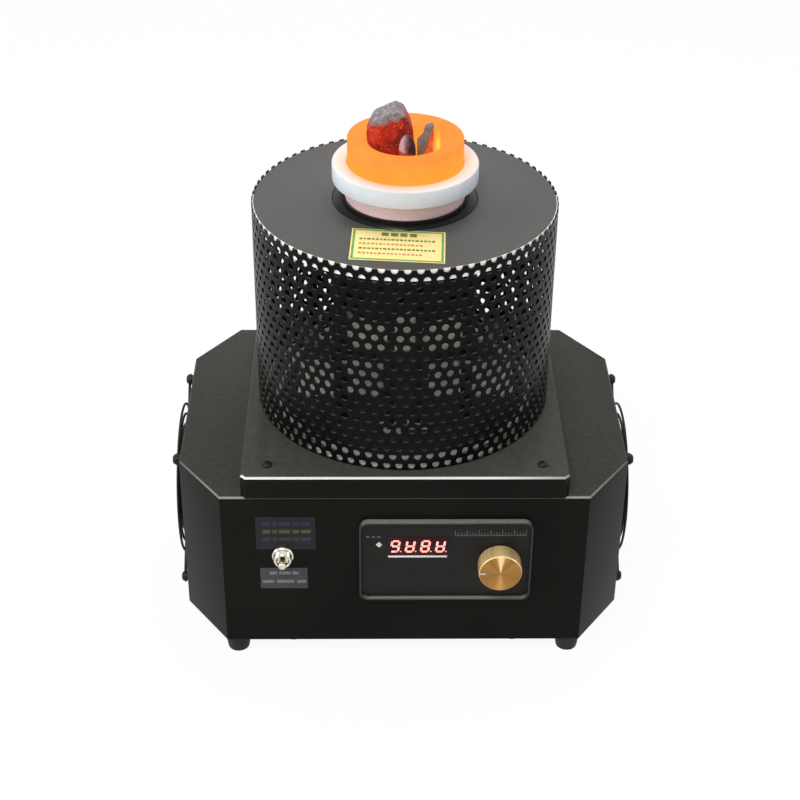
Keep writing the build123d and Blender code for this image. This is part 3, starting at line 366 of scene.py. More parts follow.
# guard: the lighter upward tone paints glints on the holes' lower walls and on the top edge
cageCoat = paintedSteel(
    "cageCoat", (10, 10, 9), (17, 16, 15), (0.25, 0.38), 0.055, 700, 0.01, (110, 108, 104),
)
blackSteel = paintedSteel("blackSteel", (20, 20, 20), (34, 33, 31), (0.35, 0.5), 0.18, 500, 0.01)
discSteel = paintedSteel("discSteel", (55, 55, 53), (66, 65, 63), (0.32, 0.44), 0.2, 600, 0.015, (77, 75, 73))
collarEnamel = paintedSteel("collarEnamel", (7, 7, 7), (18, 18, 17), (0.2, 0.36), 0.14, 260, 0.12)
# bezel: the lighter upward tone paints the light on its top side
bezelPlastic = paintedSteel(
    "bezelPlastic", (44, 44, 42), (58, 58, 56), (0.3, 0.4), 0.1, 1500, 0.01, (138, 138, 134),
)
# near white: paints the light seen through the guard's uppermost holes
paintedLightWhite = paintedSteel("paintedLightWhite", (226, 226, 222), (244, 244, 240), (0.4, 0.55), 0.4, 400, 0.01)
# near white: paints the light seen through the guard's lowest holes
paintedLightBand = paintedSteel("paintedLightBand", (244, 244, 240), (253, 253, 250), (0.3, 0.45), 0.5, 400, 0.01)
platedSteel = bareMetal("platedSteel", (150, 148, 140), (196, 194, 186), (0.25, 0.45), (1, 1, 6))
brightChrome = bareMetal("brightChrome", (196, 192, 178), (236, 232, 216), (0.08, 0.22), depth=0.004)
plainAluminium = bareMetal("plainAluminium", (150, 152, 154), (190, 192, 194), (0.3, 0.5), (1, 1, 10))
busbarCopper = bareMetal("busbarCopper", (168, 96, 62), (214, 136, 96), (0.25, 0.45), (1, 8, 1))
brassPin = bareMetal("brassPin", (176, 142, 70), (220, 188, 108), (0.2, 0.35))
coilMetal = bareMetal(
    "coilMetal", (30, 27, 25), (60, 52, 46), (0.4, 0.65), metallic=0.7, grain=160, depth=0.05,
)
fanPlastic = mouldedPlastic("fanPlastic", (14, 14, 15), (24, 24, 25), (0.38, 0.5))
switchPlastic = mouldedPlastic("switchPlastic", (18, 18, 19), (30, 30, 31), (0.3, 0.42))
nylon = mouldedPlastic("nylon", (198, 196, 186), (222, 220, 210), (0.4, 0.55))
capacitorCase = mouldedPlastic("capacitorCase", (24, 42, 104), (38, 60, 134), (0.3, 0.4))
chokeCore = mouldedPlastic("chokeCore", (122, 118, 60), (164, 158, 84), (0.45, 0.6), grain=500, depth=0.06)
footRubber = mouldedPlastic("footRubber", (14, 14, 14), (26, 26, 25), (0.6, 0.8), 0.3, 700, 0.04)
print("plain finishes made")


def faceplateFilm():
    # satin printed film: almost even, with faint wiping marks
    finish = Finish("faceplateFilm", specular=0.12)
    wipes = finish.noise(40, 5, 0.6, (1, 1, 3))
    finish.colour(finish.ramp(wipes, [(0.3, screenTone(25, 24, 22)), (0.75, screenTone(31, 30, 28))]))
    finish.roughness(finish.span(wipes, 0.32, 0.48))
    finish.bump(finish.noise(1400, 2), 0.006)
    return finish.material


def displayGlass():
    # dark red window, a little brighter where the digits light it from behind
    finish = Finish("displayGlass", specular=0.12)
    cloud = finish.noise(120, 2)
    finish.colour(finish.ramp(cloud, [(0.3, screenTone(34, 13, 12)), (0.7, screenTone(50, 19, 18))]))
    finish.roughness(finish.span(cloud, 0.08, 0.2))
    finish.glow(finish.ramp(cloud, [(0.3, screenTone(60, 12, 12)), (0.7, screenTone(96, 24, 22))]), 0.16)
    return finish.material


def litSegment():
    finish = Finish("litSegment", specular=0.2)
    uneven = finish.noise(600, 3)
    tone = finish.ramp(uneven, [(0.25, screenTone(250, 128, 118)), (0.75, screenTone(255, 182, 172))])
    finish.colour(tone)
    finish.roughness(finish.span(uneven, 0.4, 0.6))
    finish.glow(tone, 0.95)
    return finish.material


def lampLens():
    finish = Finish("lampLens", specular=0.5)
    uneven = finish.noise(500, 3)
    tone = finish.ramp(uneven, [(0.3, screenTone(150, 138, 134)), (0.7, screenTone(226, 214, 208))])
    finish.colour(tone)
    finish.roughness(finish.span(uneven, 0.2, 0.4))
    finish.glow(tone, 0.25)
    return finish.material


def goldAnodised():
    # spun and anodised gold, with painted highlights: paler and deeper wedges fan out from the middle, a
    # painted sheen streaks the side, and a painted highlight runs along the rim
    finish = Finish("goldAnodised", metallic=0.4)
    mapping = finish.node("ShaderNodeMapping", vector_type="TEXTURE")
    mapping.inputs["Location"].default_value = (65.5 * mm, 0, 85.5 * mm)
    finish.link(finish.place, mapping.inputs["Vector"])
    rings = finish.node("ShaderNodeTexWave", wave_type="RINGS", rings_direction="Y")
    rings.inputs["Scale"].default_value = 700
    rings.inputs["Distortion"].default_value = 2.0
    rings.inputs["Detail"].default_value = 2.0
    finish.link(mapping.outputs["Vector"], rings.inputs["Vector"])
    apart = finish.node("ShaderNodeSeparateXYZ")
    finish.link(mapping.outputs["Vector"], apart.inputs["Vector"])
    turn = finish.sum(finish.sum(apart.outputs["X"], apart.outputs["Z"], "ARCTAN2"), 0, "ABSOLUTE")
    # painted highlight: a pale wedge at the top, darker wedges beside it, paler again at the bottom
    paintedHighlightWedges = finish.ramp(finish.span(turn, 0, 1, 0, pi), [
        (0.0, screenTone(255, 230, 166)), (0.04, screenTone(246, 212, 144)), (0.08, screenTone(170, 120, 52)),
        (0.2, screenTone(138, 94, 36)), (0.27, screenTone(166, 116, 50)), (0.6, screenTone(146, 100, 40)),
        (0.88, screenTone(162, 114, 50)), (1.0, screenTone(202, 154, 82)),
    ])
    ahead = finish.span(finish.facing("Y"), 1, 0, -0.9, -0.5)
    grooves = finish.sum(finish.span(rings.outputs["Fac"], 0, 0.25), ahead, "MULTIPLY")
    tone = finish.mixTone(grooves, paintedHighlightWedges, screenTone(132, 90, 38))
    # painted sheen: pale streaks on the knurled side
    streaks = finish.span(finish.noise(700, 3, 0.6, (1, 0.03, 1)), 0.6, 1.0, 0.35, 0.65)
    paintedSideSheen = finish.sum(streaks, finish.sum(1, ahead, "SUBTRACT"), "MULTIPLY")
    tone = finish.mixTone(paintedSideSheen, tone, screenTone(246, 212, 150))
    # painted highlight along the rim
    outer = finish.span(finish.facing("Y"), 0, 1, -0.15, -0.35)
    inner = finish.span(finish.facing("Y"), 1, 0, -0.85, -0.97)
    tone = finish.mixTone(finish.sum(outer, inner, "MULTIPLY"), tone, screenTone(255, 226, 156))
    finish.colour(tone)
    finish.roughness(finish.span(rings.outputs["Fac"], 0.26, 0.36))
    finish.bump(rings.outputs["Fac"], 0.004)
    return finish.material


def fromAxis(finish):
    # distance from the furnace's upright axis
    square = finish.sum(finish.sum(finish.along("X"), 2, "POWER"), finish.sum(finish.along("Y"), 2, "POWER"))
    return finish.sum(square, 0.5, "POWER")


def whiteCeramic():
    # fired alumina: chalky, pitted, with painted pink light from the hot crucible on its upward faces near
    # it, glowing faintly there, and pink on the tube under the flange
    finish = Finish("whiteCeramic", specular=0.25)
    stains = finish.noise(35, 5, 0.6)
    pits = finish.cells(420)
    tone = finish.ramp(stains, [(0.3, screenTone(198, 204, 210)), (0.7, screenTone(216, 221, 228))])
    low = finish.span(finish.along("Z"), 1, 0, 321.6 * mm, 322.6 * mm)
    tone = finish.mixTone(low, tone, screenTone(238, 208, 208))
    # painted glow light: pink tone and faint emission on upward faces near the crucible
    near = finish.span(fromAxis(finish), 1, 0.3, 38.8 * mm, 48.5 * mm)
    paintedGlowLight = finish.sum(near, finish.span(finish.facing("Z"), 0, 1, 0.3, 0.9), "MULTIPLY")
    tone = finish.mixTone(paintedGlowLight, tone, screenTone(255, 196, 172))
    speck = finish.span(pits, 1, 0, 0.05, 0.3)
    finish.colour(finish.mixTone(finish.sum(speck, 0.2, "MULTIPLY"), tone, screenTone(176, 164, 156)))
    finish.roughness(finish.span(stains, 0.7, 0.9))
    finish.bump(pits, 0.08, 0.6)
    finish.bump(finish.noise(900, 3), 0.05)
    finish.glow(finish.ramp(stains, [(0.3, screenTone(255, 176, 150)), (0.7, screenTone(255, 190, 168))]),
                finish.sum(paintedGlowLight, 0.16, "MULTIPLY"))
    return finish.material


def glowingGraphite():
    # graphite at working heat: even orange, paler low on the outside, one yellow patch inside
    finish = Finish("glowingGraphite", specular=0.1)
    clouds = finish.noise(38, 4, 0.55)
    tone = finish.ramp(
        clouds,
        [(0.25, screenTone(250, 142, 48)), (0.5, screenTone(253, 152, 60)), (0.8, screenTone(255, 164, 76))],
    )
    low = finish.span(finish.along("Z"), 0.8, 0, 335 * mm, 351 * mm)
    tone = finish.mixTone(low, tone, screenTone(255, 166, 48))
    mapping = finish.node("ShaderNodeMapping", vector_type="TEXTURE")
    mapping.inputs["Location"].default_value = (22.1 * mm, 12.2 * mm, 339.9 * mm)
    mapping.inputs["Scale"].default_value = (0.0045, 0.0045, 0.012)
    finish.link(finish.place, mapping.inputs["Vector"])
    patch = finish.node("ShaderNodeTexGradient", gradient_type="SPHERICAL")
    finish.link(mapping.outputs["Vector"], patch.inputs["Vector"])
    tone = finish.mixTone(patch.outputs["Fac"], tone, screenTone(255, 232, 96))
    finish.colour(finish.ramp(clouds, [(0.3, screenTone(72, 36, 14)), (0.7, screenTone(92, 50, 20))]))
    finish.roughness(finish.span(clouds, 0.6, 0.85))
    finish.bump(finish.noise(500, 3), 0.06)
    finish.glow(tone, 0.96)
    return finish.material


def moltenGold():
    finish = Finish("moltenGold", metallic=0.6)
    skin = finish.noise(60, 5, 0.6, distortion=0.6)
    tone = finish.ramp(skin, [(0.35, screenTone(255, 150, 40)), (0.65, screenTone(255, 214, 110))])
    finish.colour(tone)
    finish.roughness(finish.span(skin, 0.1, 0.4))
    finish.bump(skin, 0.2)
    finish.glow(tone, 1.1)
    return finish.material


def scaledMetal(name, slope, line, soft, scaleTones, embers, strength, across=None, stripe=None):
    # hot metal under grey scale, which covers what lies above a slanting line; slope is for X and Z
    finish = Finish(name, specular=0.25)
    sideways = finish.sum(finish.along("X"), slope[0], "MULTIPLY")
    place = finish.sum(sideways, finish.sum(finish.along("Z"), slope[1], "MULTIPLY"))
    flecks = finish.noise(210, 5, 0.65, distortion=0.5)
    edge = finish.sum(place, finish.span(flecks, -soft * mm, soft * mm, 0.3, 0.7))
    covered = finish.span(edge, 0, 1, (line - soft / 2) * mm, (line + soft / 2) * mm)
    pattern = finish.noise(320, 5, 0.6)
    # across, when given, grades the scale along X from its first to its last tone: painted light and shade
    if across:
        pattern = finish.sum(finish.span(finish.along("X"), 0, 1, across[0] * mm, across[1] * mm),
                             finish.span(pattern, -0.12, 0.12, 0.3, 0.7))
    last = len(scaleTones) - 1
    stops = [(0.25 + 0.5 * index / last, screenTone(*tone)) for index, tone in enumerate(scaleTones)]
    scaleTone = finish.ramp(pattern, stops)
    finish.colour(finish.mixTone(covered, screenTone(46, 10, 8), scaleTone))
    finish.roughness(finish.span(flecks, 0.45, 0.8))
    finish.bump(flecks, 0.4)
    emberStops = [(position, screenTone(*tone)) for position, tone in embers]
    heat = finish.ramp(finish.noise(95, 3, 0.5, distortion=0.4), emberStops)
    sparks = finish.span(finish.noise(330, 4, 0.6, distortion=1.2), 0, 0.85, 0.57, 0.68)
    heat = finish.mixTone(sparks, heat, screenTone(250, 104, 52))
    if stripe:
        side = finish.span(finish.along("X"), 0, 0.9, stripe[0] * mm, stripe[1] * mm)
        heat = finish.mixTone(side, heat, screenTone(248, 88, 36))
    finish.glow(heat, finish.span(covered, strength, 0))
    return finish.material


def porousBrick(name, dark, light, scale, depth):
    finish = Finish(name, specular=0.15)
    pores = finish.cells(scale)
    grit = finish.noise(scale * 1.5, 4, 0.6)
    finish.colour(finish.ramp(grit, [(0.3, screenTone(*dark)), (0.7, screenTone(*light))]))
    finish.roughness(finish.span(grit, 0.8, 0.95))
    finish.bump(pores, depth)
    finish.bump(grit, depth / 2)
    return finish.material


def circuitBoard():
    # green mask over tracks
    finish = Finish("circuitBoard", specular=0.5)
    tracks = finish.node("ShaderNodeTexBrick")
    tracks.inputs["Scale"].default_value = 160
    tracks.inputs["Color1"].default_value = screenTone(24, 84, 44)
    tracks.inputs["Color2"].default_value = screenTone(30, 98, 52)
    tracks.inputs["Mortar"].default_value = screenTone(18, 62, 34)
    finish.link(finish.place, tracks.inputs["Vector"])
    finish.colour(tracks.outputs["Color"])
    finish.roughness(finish.span(finish.noise(200, 3), 0.25, 0.4))
    finish.bump(tracks.outputs["Fac"], 0.03)
    return finish.material


def printedInk(name, dark, light, glow=0.0, roughness=(0.5, 0.65)):
    # a printed or painted mark, slightly worn
    finish = Finish(name, specular=0.2)
    wear = finish.noise(420, 5, 0.65)
    tone = finish.ramp(wear, [(0.3, screenTone(*dark)), (0.65, screenTone(*light))])
    finish.colour(tone)
    finish.roughness(finish.span(wear, *roughness))
    finish.bump(wear, 0.01)
    if glow:
        finish.glow(tone, glow)
    return finish.material


def supplyCase():
    # plain sheet with rows of vent holes
    finish = Finish("supplyCase", metallic=0.9)
    grain = finish.noise(200, 4, 0.6, (1, 14, 1))
    finish.colour(finish.ramp(grain, [(0.3, screenTone(140, 142, 142)), (0.7, screenTone(176, 178, 178))]))
    finish.roughness(finish.span(grain, 0.35, 0.5))
    vents = finish.span(finish.cells(130), 0, 1, 0.2, 0.3)
    finish.bump(vents, 0.4)
    return finish.material


faceplateSkin = faceplateFilm()
displaySkin = displayGlass()
segmentSkin = litSegment()
lampSkin = lampLens()
goldSkin = goldAnodised()
ceramicSkin = whiteCeramic()
graphiteSkin = glowingGraphite()
goldPoolSkin = moltenGold()
blockSkin = scaledMetal(
    "scaledBlock", (-0.31, 1), 368.4, 2.6, ((84, 78, 80), (124, 117, 118), (164, 157, 157)),
    ((0.34, (96, 12, 8)), (0.46, (158, 26, 12)), (0.6, (196, 40, 18)), (0.72, (232, 70, 30))),
    0.92, stripe=(6.0, 8.5),
)
# the bullet's scale runs from light at the left to dark at the right: painted light and shade
bulletSkin = scaledMetal(
    "scaledBullet", (0.35, 1), 347.5, 2.0, ((176, 146, 150), (104, 74, 80), (44, 22, 32)),
    ((0.35, (120, 20, 24)), (0.6, (206, 52, 50))), 0.8, (-4.6, 5.0),
)
slabSkin = scaledMetal(
    "scaledSlab", (-1, 0.29), 86.3, 0.7, ((88, 80, 80), (122, 112, 110), (146, 132, 128)),
    ((0.34, (214, 52, 30)), (0.52, (240, 88, 42)), (0.68, (255, 128, 66))), 0.92,
)
brickSkin = porousBrick("porousBrick", (206, 202, 190), (246, 242, 232), 380, 0.3)
fibreSkin = porousBrick("ceramicFibre", (232, 230, 222), (252, 250, 244), 900, 0.15)
boardSkin = circuitBoard()
supplySkin = supplyCase()
cardPaper = printedInk("cardPaper", (224, 202, 130), (236, 214, 146))
cardGreen = printedInk("cardGreen", (74, 134, 66), (108, 160, 92))
cardOlive = printedInk("cardOlive", (84, 100, 50), (116, 126, 74))
cardRust = printedInk("cardRust", (176, 108, 66), (204, 140, 92))
plateViolet = printedInk("plateViolet", (22, 20, 25), (29, 26, 33))
plateGrey = printedInk("plateGrey", (52, 52, 54), (64, 64, 66))
inkViolet = printedInk("inkViolet", (36, 31, 52), (47, 42, 62))
inkOlive = printedInk("inkOlive", (56, 58, 28), (74, 76, 44))
inkGrey = printedInk("inkGrey", (40, 37, 42), (54, 51, 56))
inkPale = printedInk("inkPale", (92, 92, 96), (114, 114, 120))
inkPanel = printedInk("inkPanel", (52, 66, 62), (84, 98, 92))
inkWhite = printedInk("inkWhite", (188, 190, 186), (214, 216, 212))
print("special finishes made")


# ---- nodes that keep their own shape get their finish

nodeFinishes = {
    "bottom_plate": cabinetCoat, "bottom_screws": blackSteel, "foot_screws": platedSteel,
    "tray_spacers": platedSteel, "cage_brackets": platedSteel, "bracket_screws": platedSteel,
    "disc_posts": blackSteel, "support_plate": blackSteel, "support_nuts": platedSteel,
    "refractory_block": brickSkin, "insulation_sleeve": fibreSkin, "induction_coil": coilMetal,
    "lead_bushes": nylon, "melt_pool": goldPoolSkin,
    "display_module": bezelPlastic, "controller_board": boardSkin, "potentiometer": plainAluminium,
    "pot_nut": platedSteel, "pot_shaft": platedSteel, "inlet_pins": brassPin,
    "power_supply": supplySkin, "board_standoffs": nylon, "driver_board": boardSkin,
    "capacitor_bank": capacitorCase, "busbars": busbarCopper, "heat_sinks": plainAluminium,
    "chokes": chokeCore,
}
for nodeName, material in nodeFinishes.items():
    for materialSlot in cadNodes[nodeName].material_slots:
        materialSlot.material = material
print("nodes dressed:", len(nodeFinishes))


# ---- cabinet

cabinet = {"foldRadius": 1.1, "trayRadius": 1.0, "bendSegments": 4, "skirtDrop": 1.2, "trayReach": 3.6}
shell = softenedCopy("base_shell", cabinet["foldRadius"], cabinet["bendSegments"])
for vertex in shell.data.vertices:         # the skirt reaches a little lower over the feet
    if vertex.co.z < 15.2 * mm:
        vertex.co.z -= cabinet["skirtDrop"] * mm
settle(shell, "cabinetShell", "furnace", cabinetCoat, ["base_shell"], 50)
tray = softenedCopy("tray", cabinet["trayRadius"], cabinet["bendSegments"])
for vertex in tray.data.vertices:          # the front edge stands further forward
    if vertex.co.y < -100 * mm:
        vertex.co.y -= cabinet["trayReach"] * mm
settle(tray, "trayCover", "furnace", trayCoat, ["tray"], 50)

feet = {"x": 118, "y": 100.3, "height": 13.8, "topRadius": 9.4, "bottomRadius": 7.7, "round": 1.2}
foot = turned([
    (0, 0), (feet["bottomRadius"] - feet["round"], 0), (feet["bottomRadius"] - 0.3, 0.35),
    (feet["bottomRadius"], feet["round"]), (feet["topRadius"] - 0.2, feet["height"] - 1.5),
    (feet["topRadius"], feet["height"] - 0.8), (feet["topRadius"], feet["height"]), (0, feet["height"]),
], 32)
footPieces = [copyOf(foot, move=(x, y, 0)) for x in (-feet["x"], feet["x"]) for y in (-feet["y"], feet["y"])]
bpy.data.objects.remove(foot)
settle(joined(footPieces), "rubberFeet", "furnace", footRubber, ["rubber_feet"])


def panHead(radius, height, recess=0.9, steps=24):
    # a low domed screw head with a round socket
    return turned([
        (0, height - recess), (radius * 0.34, height - recess), (radius * 0.36, height - 0.05),
        (radius * 0.6, height - 0.1), (radius * 0.86, height * 0.68), (radius, height * 0.3),
        (radius, 0), (0, 0),
    ], steps)


trayScrew = {"x": 93, "y": 97, "seat": 156.0, "radius": 3.6, "height": 2.2}
screw = panHead(trayScrew["radius"], trayScrew["height"])
heads = [
    copyOf(screw, move=(x, y, trayScrew["seat"]))
    for x in (-trayScrew["x"], trayScrew["x"]) for y in (-trayScrew["y"], trayScrew["y"])
]
bpy.data.objects.remove(screw)
settle(joined(heads), "trayScrewHeads", "furnace", blackSteel, ["tray_screws"])
print("cabinet done")


# ---- side fans: frame, wire guard, rotor

fan = {
    "height": 77.0, "face": 156.0, "inner": 129.4, "standoff": 4.0, "wire": 0.9, "hubRadius": 20.5,
    "tipRadius": 54.0, "blades": 7, "ringRadii": (17.0, 24.5, 32.0, 39.5, 47.0, 54.5), "pitch": 105.0,
    "rootPitch": 48, "tipPitch": 30, "rootChord": 17, "tipChord": 24, "thickness": 1.5,
}


def wireRing(radius, wire, place):
    deselectAll()
    bpy.ops.mesh.primitive_torus_add(
        major_radius=radius * mm, minor_radius=wire * mm, major_segments=64, minor_segments=10,
        location=[value * mm for value in place],
    )
    ring = bpy.context.object
    applyPlace(ring)
    return ring


def rod(radius, length, place, turn=(0, 0, 0), sides=10):
    deselectAll()
    bpy.ops.mesh.primitive_cylinder_add(
        vertices=sides, radius=radius * mm, depth=length * mm,
        location=[value * mm for value in place], rotation=turn,
    )
    piece = bpy.context.object
    applyPlace(piece)
    addModifier(piece, "BEVEL", width=radius * 0.25 * mm, segments=2, limit_method="ANGLE")
    return piece


def fanGuard(way, side):
    # built lying flat round Z, then stood up against the cabinet's side
    wire = fan["wire"]
    top = fan["standoff"] + wire
    parts = [wireRing(radius, wire, (0, 0, top)) for radius in fan["ringRadii"]]
    reach = fan["pitch"] / 2 ** 0.5
    badgeRadius = fan["ringRadii"][0]
    for quarter in range(4):
        angle = radians(45 + 90 * quarter)
        middle = (reach + badgeRadius) / 2
        place = (middle * cos(angle), middle * sin(angle), top - wire * 1.3)
        parts.append(rod(wire * 1.2, reach - badgeRadius, place, (0, pi / 2, angle)))
        eye = turned([(2.3, top - 2.4), (4.2, top - 2.4), (4.2, top - 0.9), (2.3, top - 0.9)], 24)
        eye.location = (reach * cos(angle) * mm, reach * sin(angle) * mm, 0)
        applyPlace(eye)
        parts.append(eye)
        post = turned([(2.3, 0), (3.4, 0), (3.4, top - 2.4), (2.3, top - 2.4)], 24)
        post.location = (reach * cos(angle) * mm, reach * sin(angle) * mm, 0)
        applyPlace(post)
        parts.append(post)
    badge = turned([
        (0, top - 2.2), (badgeRadius, top - 2.2), (badgeRadius + 0.6, top - 1.8),
        (badgeRadius + 0.6, top - 1.2), (badgeRadius, top - 0.8), (0, top - 0.8),
    ], 48)
    parts.append(badge)
    guard = joined(parts)
    guard.rotation_euler = (0, way * pi / 2, 0)
    guard.location = (way * fan["face"] * mm, 0, fan["height"] * mm)
    return settle(guard, "fanGuard_" + side, "furnace", blackSteel, ["fan_guard_" + side])


def fanBlade():
    # a grid bent into a cambered, twisted blade that stands out along X from the hub
    deselectAll()
    bpy.ops.mesh.primitive_grid_add(x_subdivisions=8, y_subdivisions=6, size=1)
    blade = bpy.context.object
    for vertex in blade.data.vertices:
        share = vertex.co.x + 0.5
        across = vertex.co.y
        radius = fan["hubRadius"] - 1 + share * (fan["tipRadius"] - fan["hubRadius"] + 1)
        chord = fan["rootChord"] + share * (fan["tipChord"] - fan["rootChord"])
        pitch = radians(fan["rootPitch"] + share * (fan["tipPitch"] - fan["rootPitch"]))
        camber = 2.2 * (1 - 4 * across ** 2)
        along = chord * across
        sweep = 0.16 * share ** 2 + along * cos(pitch) / radius
        vertex.co = (
            radius * cos(sweep) * mm, radius * sin(sweep) * mm,
            (along * sin(pitch) + camber * cos(pitch)) * mm,
        )
    addModifier(blade, "SOLIDIFY", thickness=fan["thickness"] * mm, offset=0)
    addModifier(blade, "BEVEL", width=0.4 * mm, segments=2, limit_method="ANGLE", angle_limit=radians(50))
    return blade


def fanRotor(way, side):
    middle = fan["inner"] + 14.0
    blades = ringOf(fanBlade(), fan["blades"])
    hub = turned([
        (0, -10.2), (16, -10.2), (fan["hubRadius"], -9.4), (fan["hubRadius"], 7.2),
        (fan["hubRadius"] - 0.8, 8.3), (fan["hubRadius"] - 2.6, 8.9), (9, 8.9), (8, 8.3), (0, 8.3),
    ], 48)
    rotor = joined([hub, blades])
    rotor.rotation_euler = (0, way * pi / 2, 0)
    rotor.location = (way * middle * mm, 0, fan["height"] * mm)
    return settle(rotor, "fanRotor_" + side, side + "_fan", fanPlastic, ["fan_rotor_" + side])


for way, side in ((-1, "left"), (1, "right")):
    fanGuard(way, side)
    fanRotor(way, side)
    housing = softenedCopy("fan_frame_" + side, 0.8, 2)
    settle(housing, "fanHousing_" + side, "furnace", fanPlastic, ["fan_frame_" + side])

fanScrew = panHead(3.6, 2.2)
fanHeads = []
for way in (-1, 1):
    stood = Matrix.Rotation(way * pi / 2, 4, "Y")
    for y in (-fan["pitch"] / 2, fan["pitch"] / 2):
        for z in (-fan["pitch"] / 2, fan["pitch"] / 2):
            seat = (way * (fan["face"] + fan["standoff"]), y, fan["height"] + z)
            fanHeads.append(copyOf(fanScrew, stood, seat))
bpy.data.objects.remove(fanScrew)
settle(joined(fanHeads), "fanScrewHeads", "furnace", blackSteel, ["fan_screws"])
print("fans done")


# ---- perforated guard: one holed tile, repeated flat, cut to height and rolled round

cage = {
    "radius": 103.3, "bottom": 156.0, "top": 308.0, "sheet": 1.0, "columns": 78, "rowPitch": 7.05,
    "rows": 22, "holeRadius": 2.5, "holeSides": 14,
}


def perforatedTile(width):
    deselectAll()
    bpy.ops.mesh.primitive_circle_add(vertices=cage["holeSides"], radius=cage["holeRadius"] * mm)
    hole = bpy.context.object
    deselectAll()
    bpy.ops.mesh.primitive_plane_add(size=1)
    border = bpy.context.object
    border.scale = (width * mm, cage["rowPitch"] * mm, 1)
    applyPlace(border)
    pick(border)
    bpy.ops.object.mode_set(mode="EDIT")
    bpy.ops.mesh.select_all(action="SELECT")
    bpy.ops.mesh.delete(type="ONLY_FACE")
    bpy.ops.object.mode_set(mode="OBJECT")
    pick(border)
    bpy.context.tool_settings.mesh_select_mode = (False, True, False)
    for edge in border.data.edges:
        first, second = (border.data.vertices[index].co for index in edge.vertices)
        edge.select = abs(first.y - second.y) < 1e-9
    bpy.ops.object.mode_set(mode="EDIT")
    bpy.ops.mesh.subdivide(number_cuts=1)
    bpy.ops.object.mode_set(mode="OBJECT")
    tile = joined([border, hole])
    inEditMode(tile, lambda: bpy.ops.mesh.bridge_edge_loops())
    bpy.context.tool_settings.mesh_select_mode = (True, False, False)
    return tile


def perforatedCage():
    turnLength = 2 * pi * cage["radius"]
    width = turnLength / cage["columns"]
    tile = perforatedTile(width)
    upper = copyOf(tile, move=(width / 2, cage["rowPitch"], 0))
    pair = joined([tile, upper])
    addModifier(
        pair, "ARRAY", count=cage["columns"], use_relative_offset=False, use_constant_offset=True,
        constant_offset_displace=(width * mm, 0, 0),
    )
    addModifier(
        pair, "ARRAY", count=cage["rows"] // 2, use_relative_offset=False, use_constant_offset=True,
        constant_offset_displace=(0, 2 * cage["rowPitch"] * mm, 0),
    )
    lowest = -cage["rowPitch"] / 2 * mm
    height = (cage["top"] - cage["bottom"]) * mm

    def cutTop():
        bpy.ops.mesh.remove_doubles(threshold=1e-6)
        bpy.ops.mesh.select_all(action="SELECT")
        bpy.ops.mesh.bisect(plane_co=(0, lowest + height, 0), plane_no=(0, 1, 0), clear_outer=True)

    inEditMode(pair, cutTop)
    for vertex in pair.data.vertices:      # roll the flat sheet round the axis
        angle = vertex.co.x / (cage["radius"] * mm) + pi / cage["columns"]
        vertex.co = (
            cage["radius"] * mm * sin(angle), -cage["radius"] * mm * cos(angle),
            cage["bottom"] * mm + vertex.co.y - lowest,
        )

    def closeSeam():
        bpy.ops.mesh.remove_doubles(threshold=1e-5)
        bpy.ops.mesh.normals_make_consistent(inside=False)

    inEditMode(pair, closeSeam)
    return pair


cageSheet = perforatedCage()
outward = cageSheet.data.polygons[0]
if outward.normal.dot(Vector((outward.center.x, outward.center.y, 0))) < 0:
    inEditMode(cageSheet, lambda: bpy.ops.mesh.flip_normals())
addModifier(cageSheet, "SOLIDIFY", thickness=cage["sheet"] * mm, offset=-1)
settle(cageSheet, "perforatedCage", "furnace", cageCoat, ["perforated_cage"], 30)
print("guard done:", len(cageSheet.data.polygons), "faces")


# ---- top disc, collar of the well

well = {"discRadius": 101.9, "discTop": 307.7, "discSheet": 1.5, "holeRadius": 48.9, "lip": 0.25}
top, edge = well["discTop"], well["holeRadius"]
disc = turned([
    (edge, top - well["discSheet"]), (well["discRadius"], top - well["discSheet"]),
    (well["discRadius"], top - 0.3), (well["discRadius"] - 0.3, top), (edge + 1.6, top),
    (edge + 1.0, top + well["lip"]), (edge + 0.3, top + well["lip"]), (edge, top + well["lip"] - 0.3),
], 128)
settle(disc, "topDisc", "furnace", discSteel, ["top_disc"])

# white lip turned down from the disc's edge, seen through the uppermost holes of the guard; its white paints
# the light seen through the gap between the disc and the guard
lip = {"outer": 102.3, "inner": 101.92, "bottom": 299.8, "top": 307.8, "back": 4.0}
paintedLightLip = turned([
    (lip["inner"], lip["bottom"]), (lip["outer"], lip["bottom"]), (lip["outer"], lip["top"]),
    (lip["inner"], lip["top"]),
], 128)
inEditMode(paintedLightLip, lambda: bpy.ops.mesh.bisect(
    plane_co=(0, lip["back"] * mm, 0), plane_no=(0, 1, 0), clear_outer=True, use_fill=True,
))
settle(paintedLightLip, "discPaintedLight", "furnace", paintedLightWhite)

collar = {"bore": 41.2, "outer": 48.8, "flange": 52.6, "bottom": 303.0, "discBottom": 306.2, "rim": 311.3}
bore, outer, rim = collar["bore"], collar["outer"], collar["rim"]
neck = turned([
    (bore, collar["bottom"]), (collar["flange"], collar["bottom"]),
    (collar["flange"], collar["discBottom"] - 0.1), (outer, collar["discBottom"] - 0.1),
    (outer, rim - 3.4), (outer - 0.8, rim - 2.4), (outer - 2.4, rim - 1.2), (outer - 4.4, rim - 0.3),
    (bore + 1.4, rim), (bore + 0.4, rim - 0.2), (bore, rim - 0.7),
], 96)
settle(neck, "wellCollar", "furnace", collarEnamel, ["well_collar"])

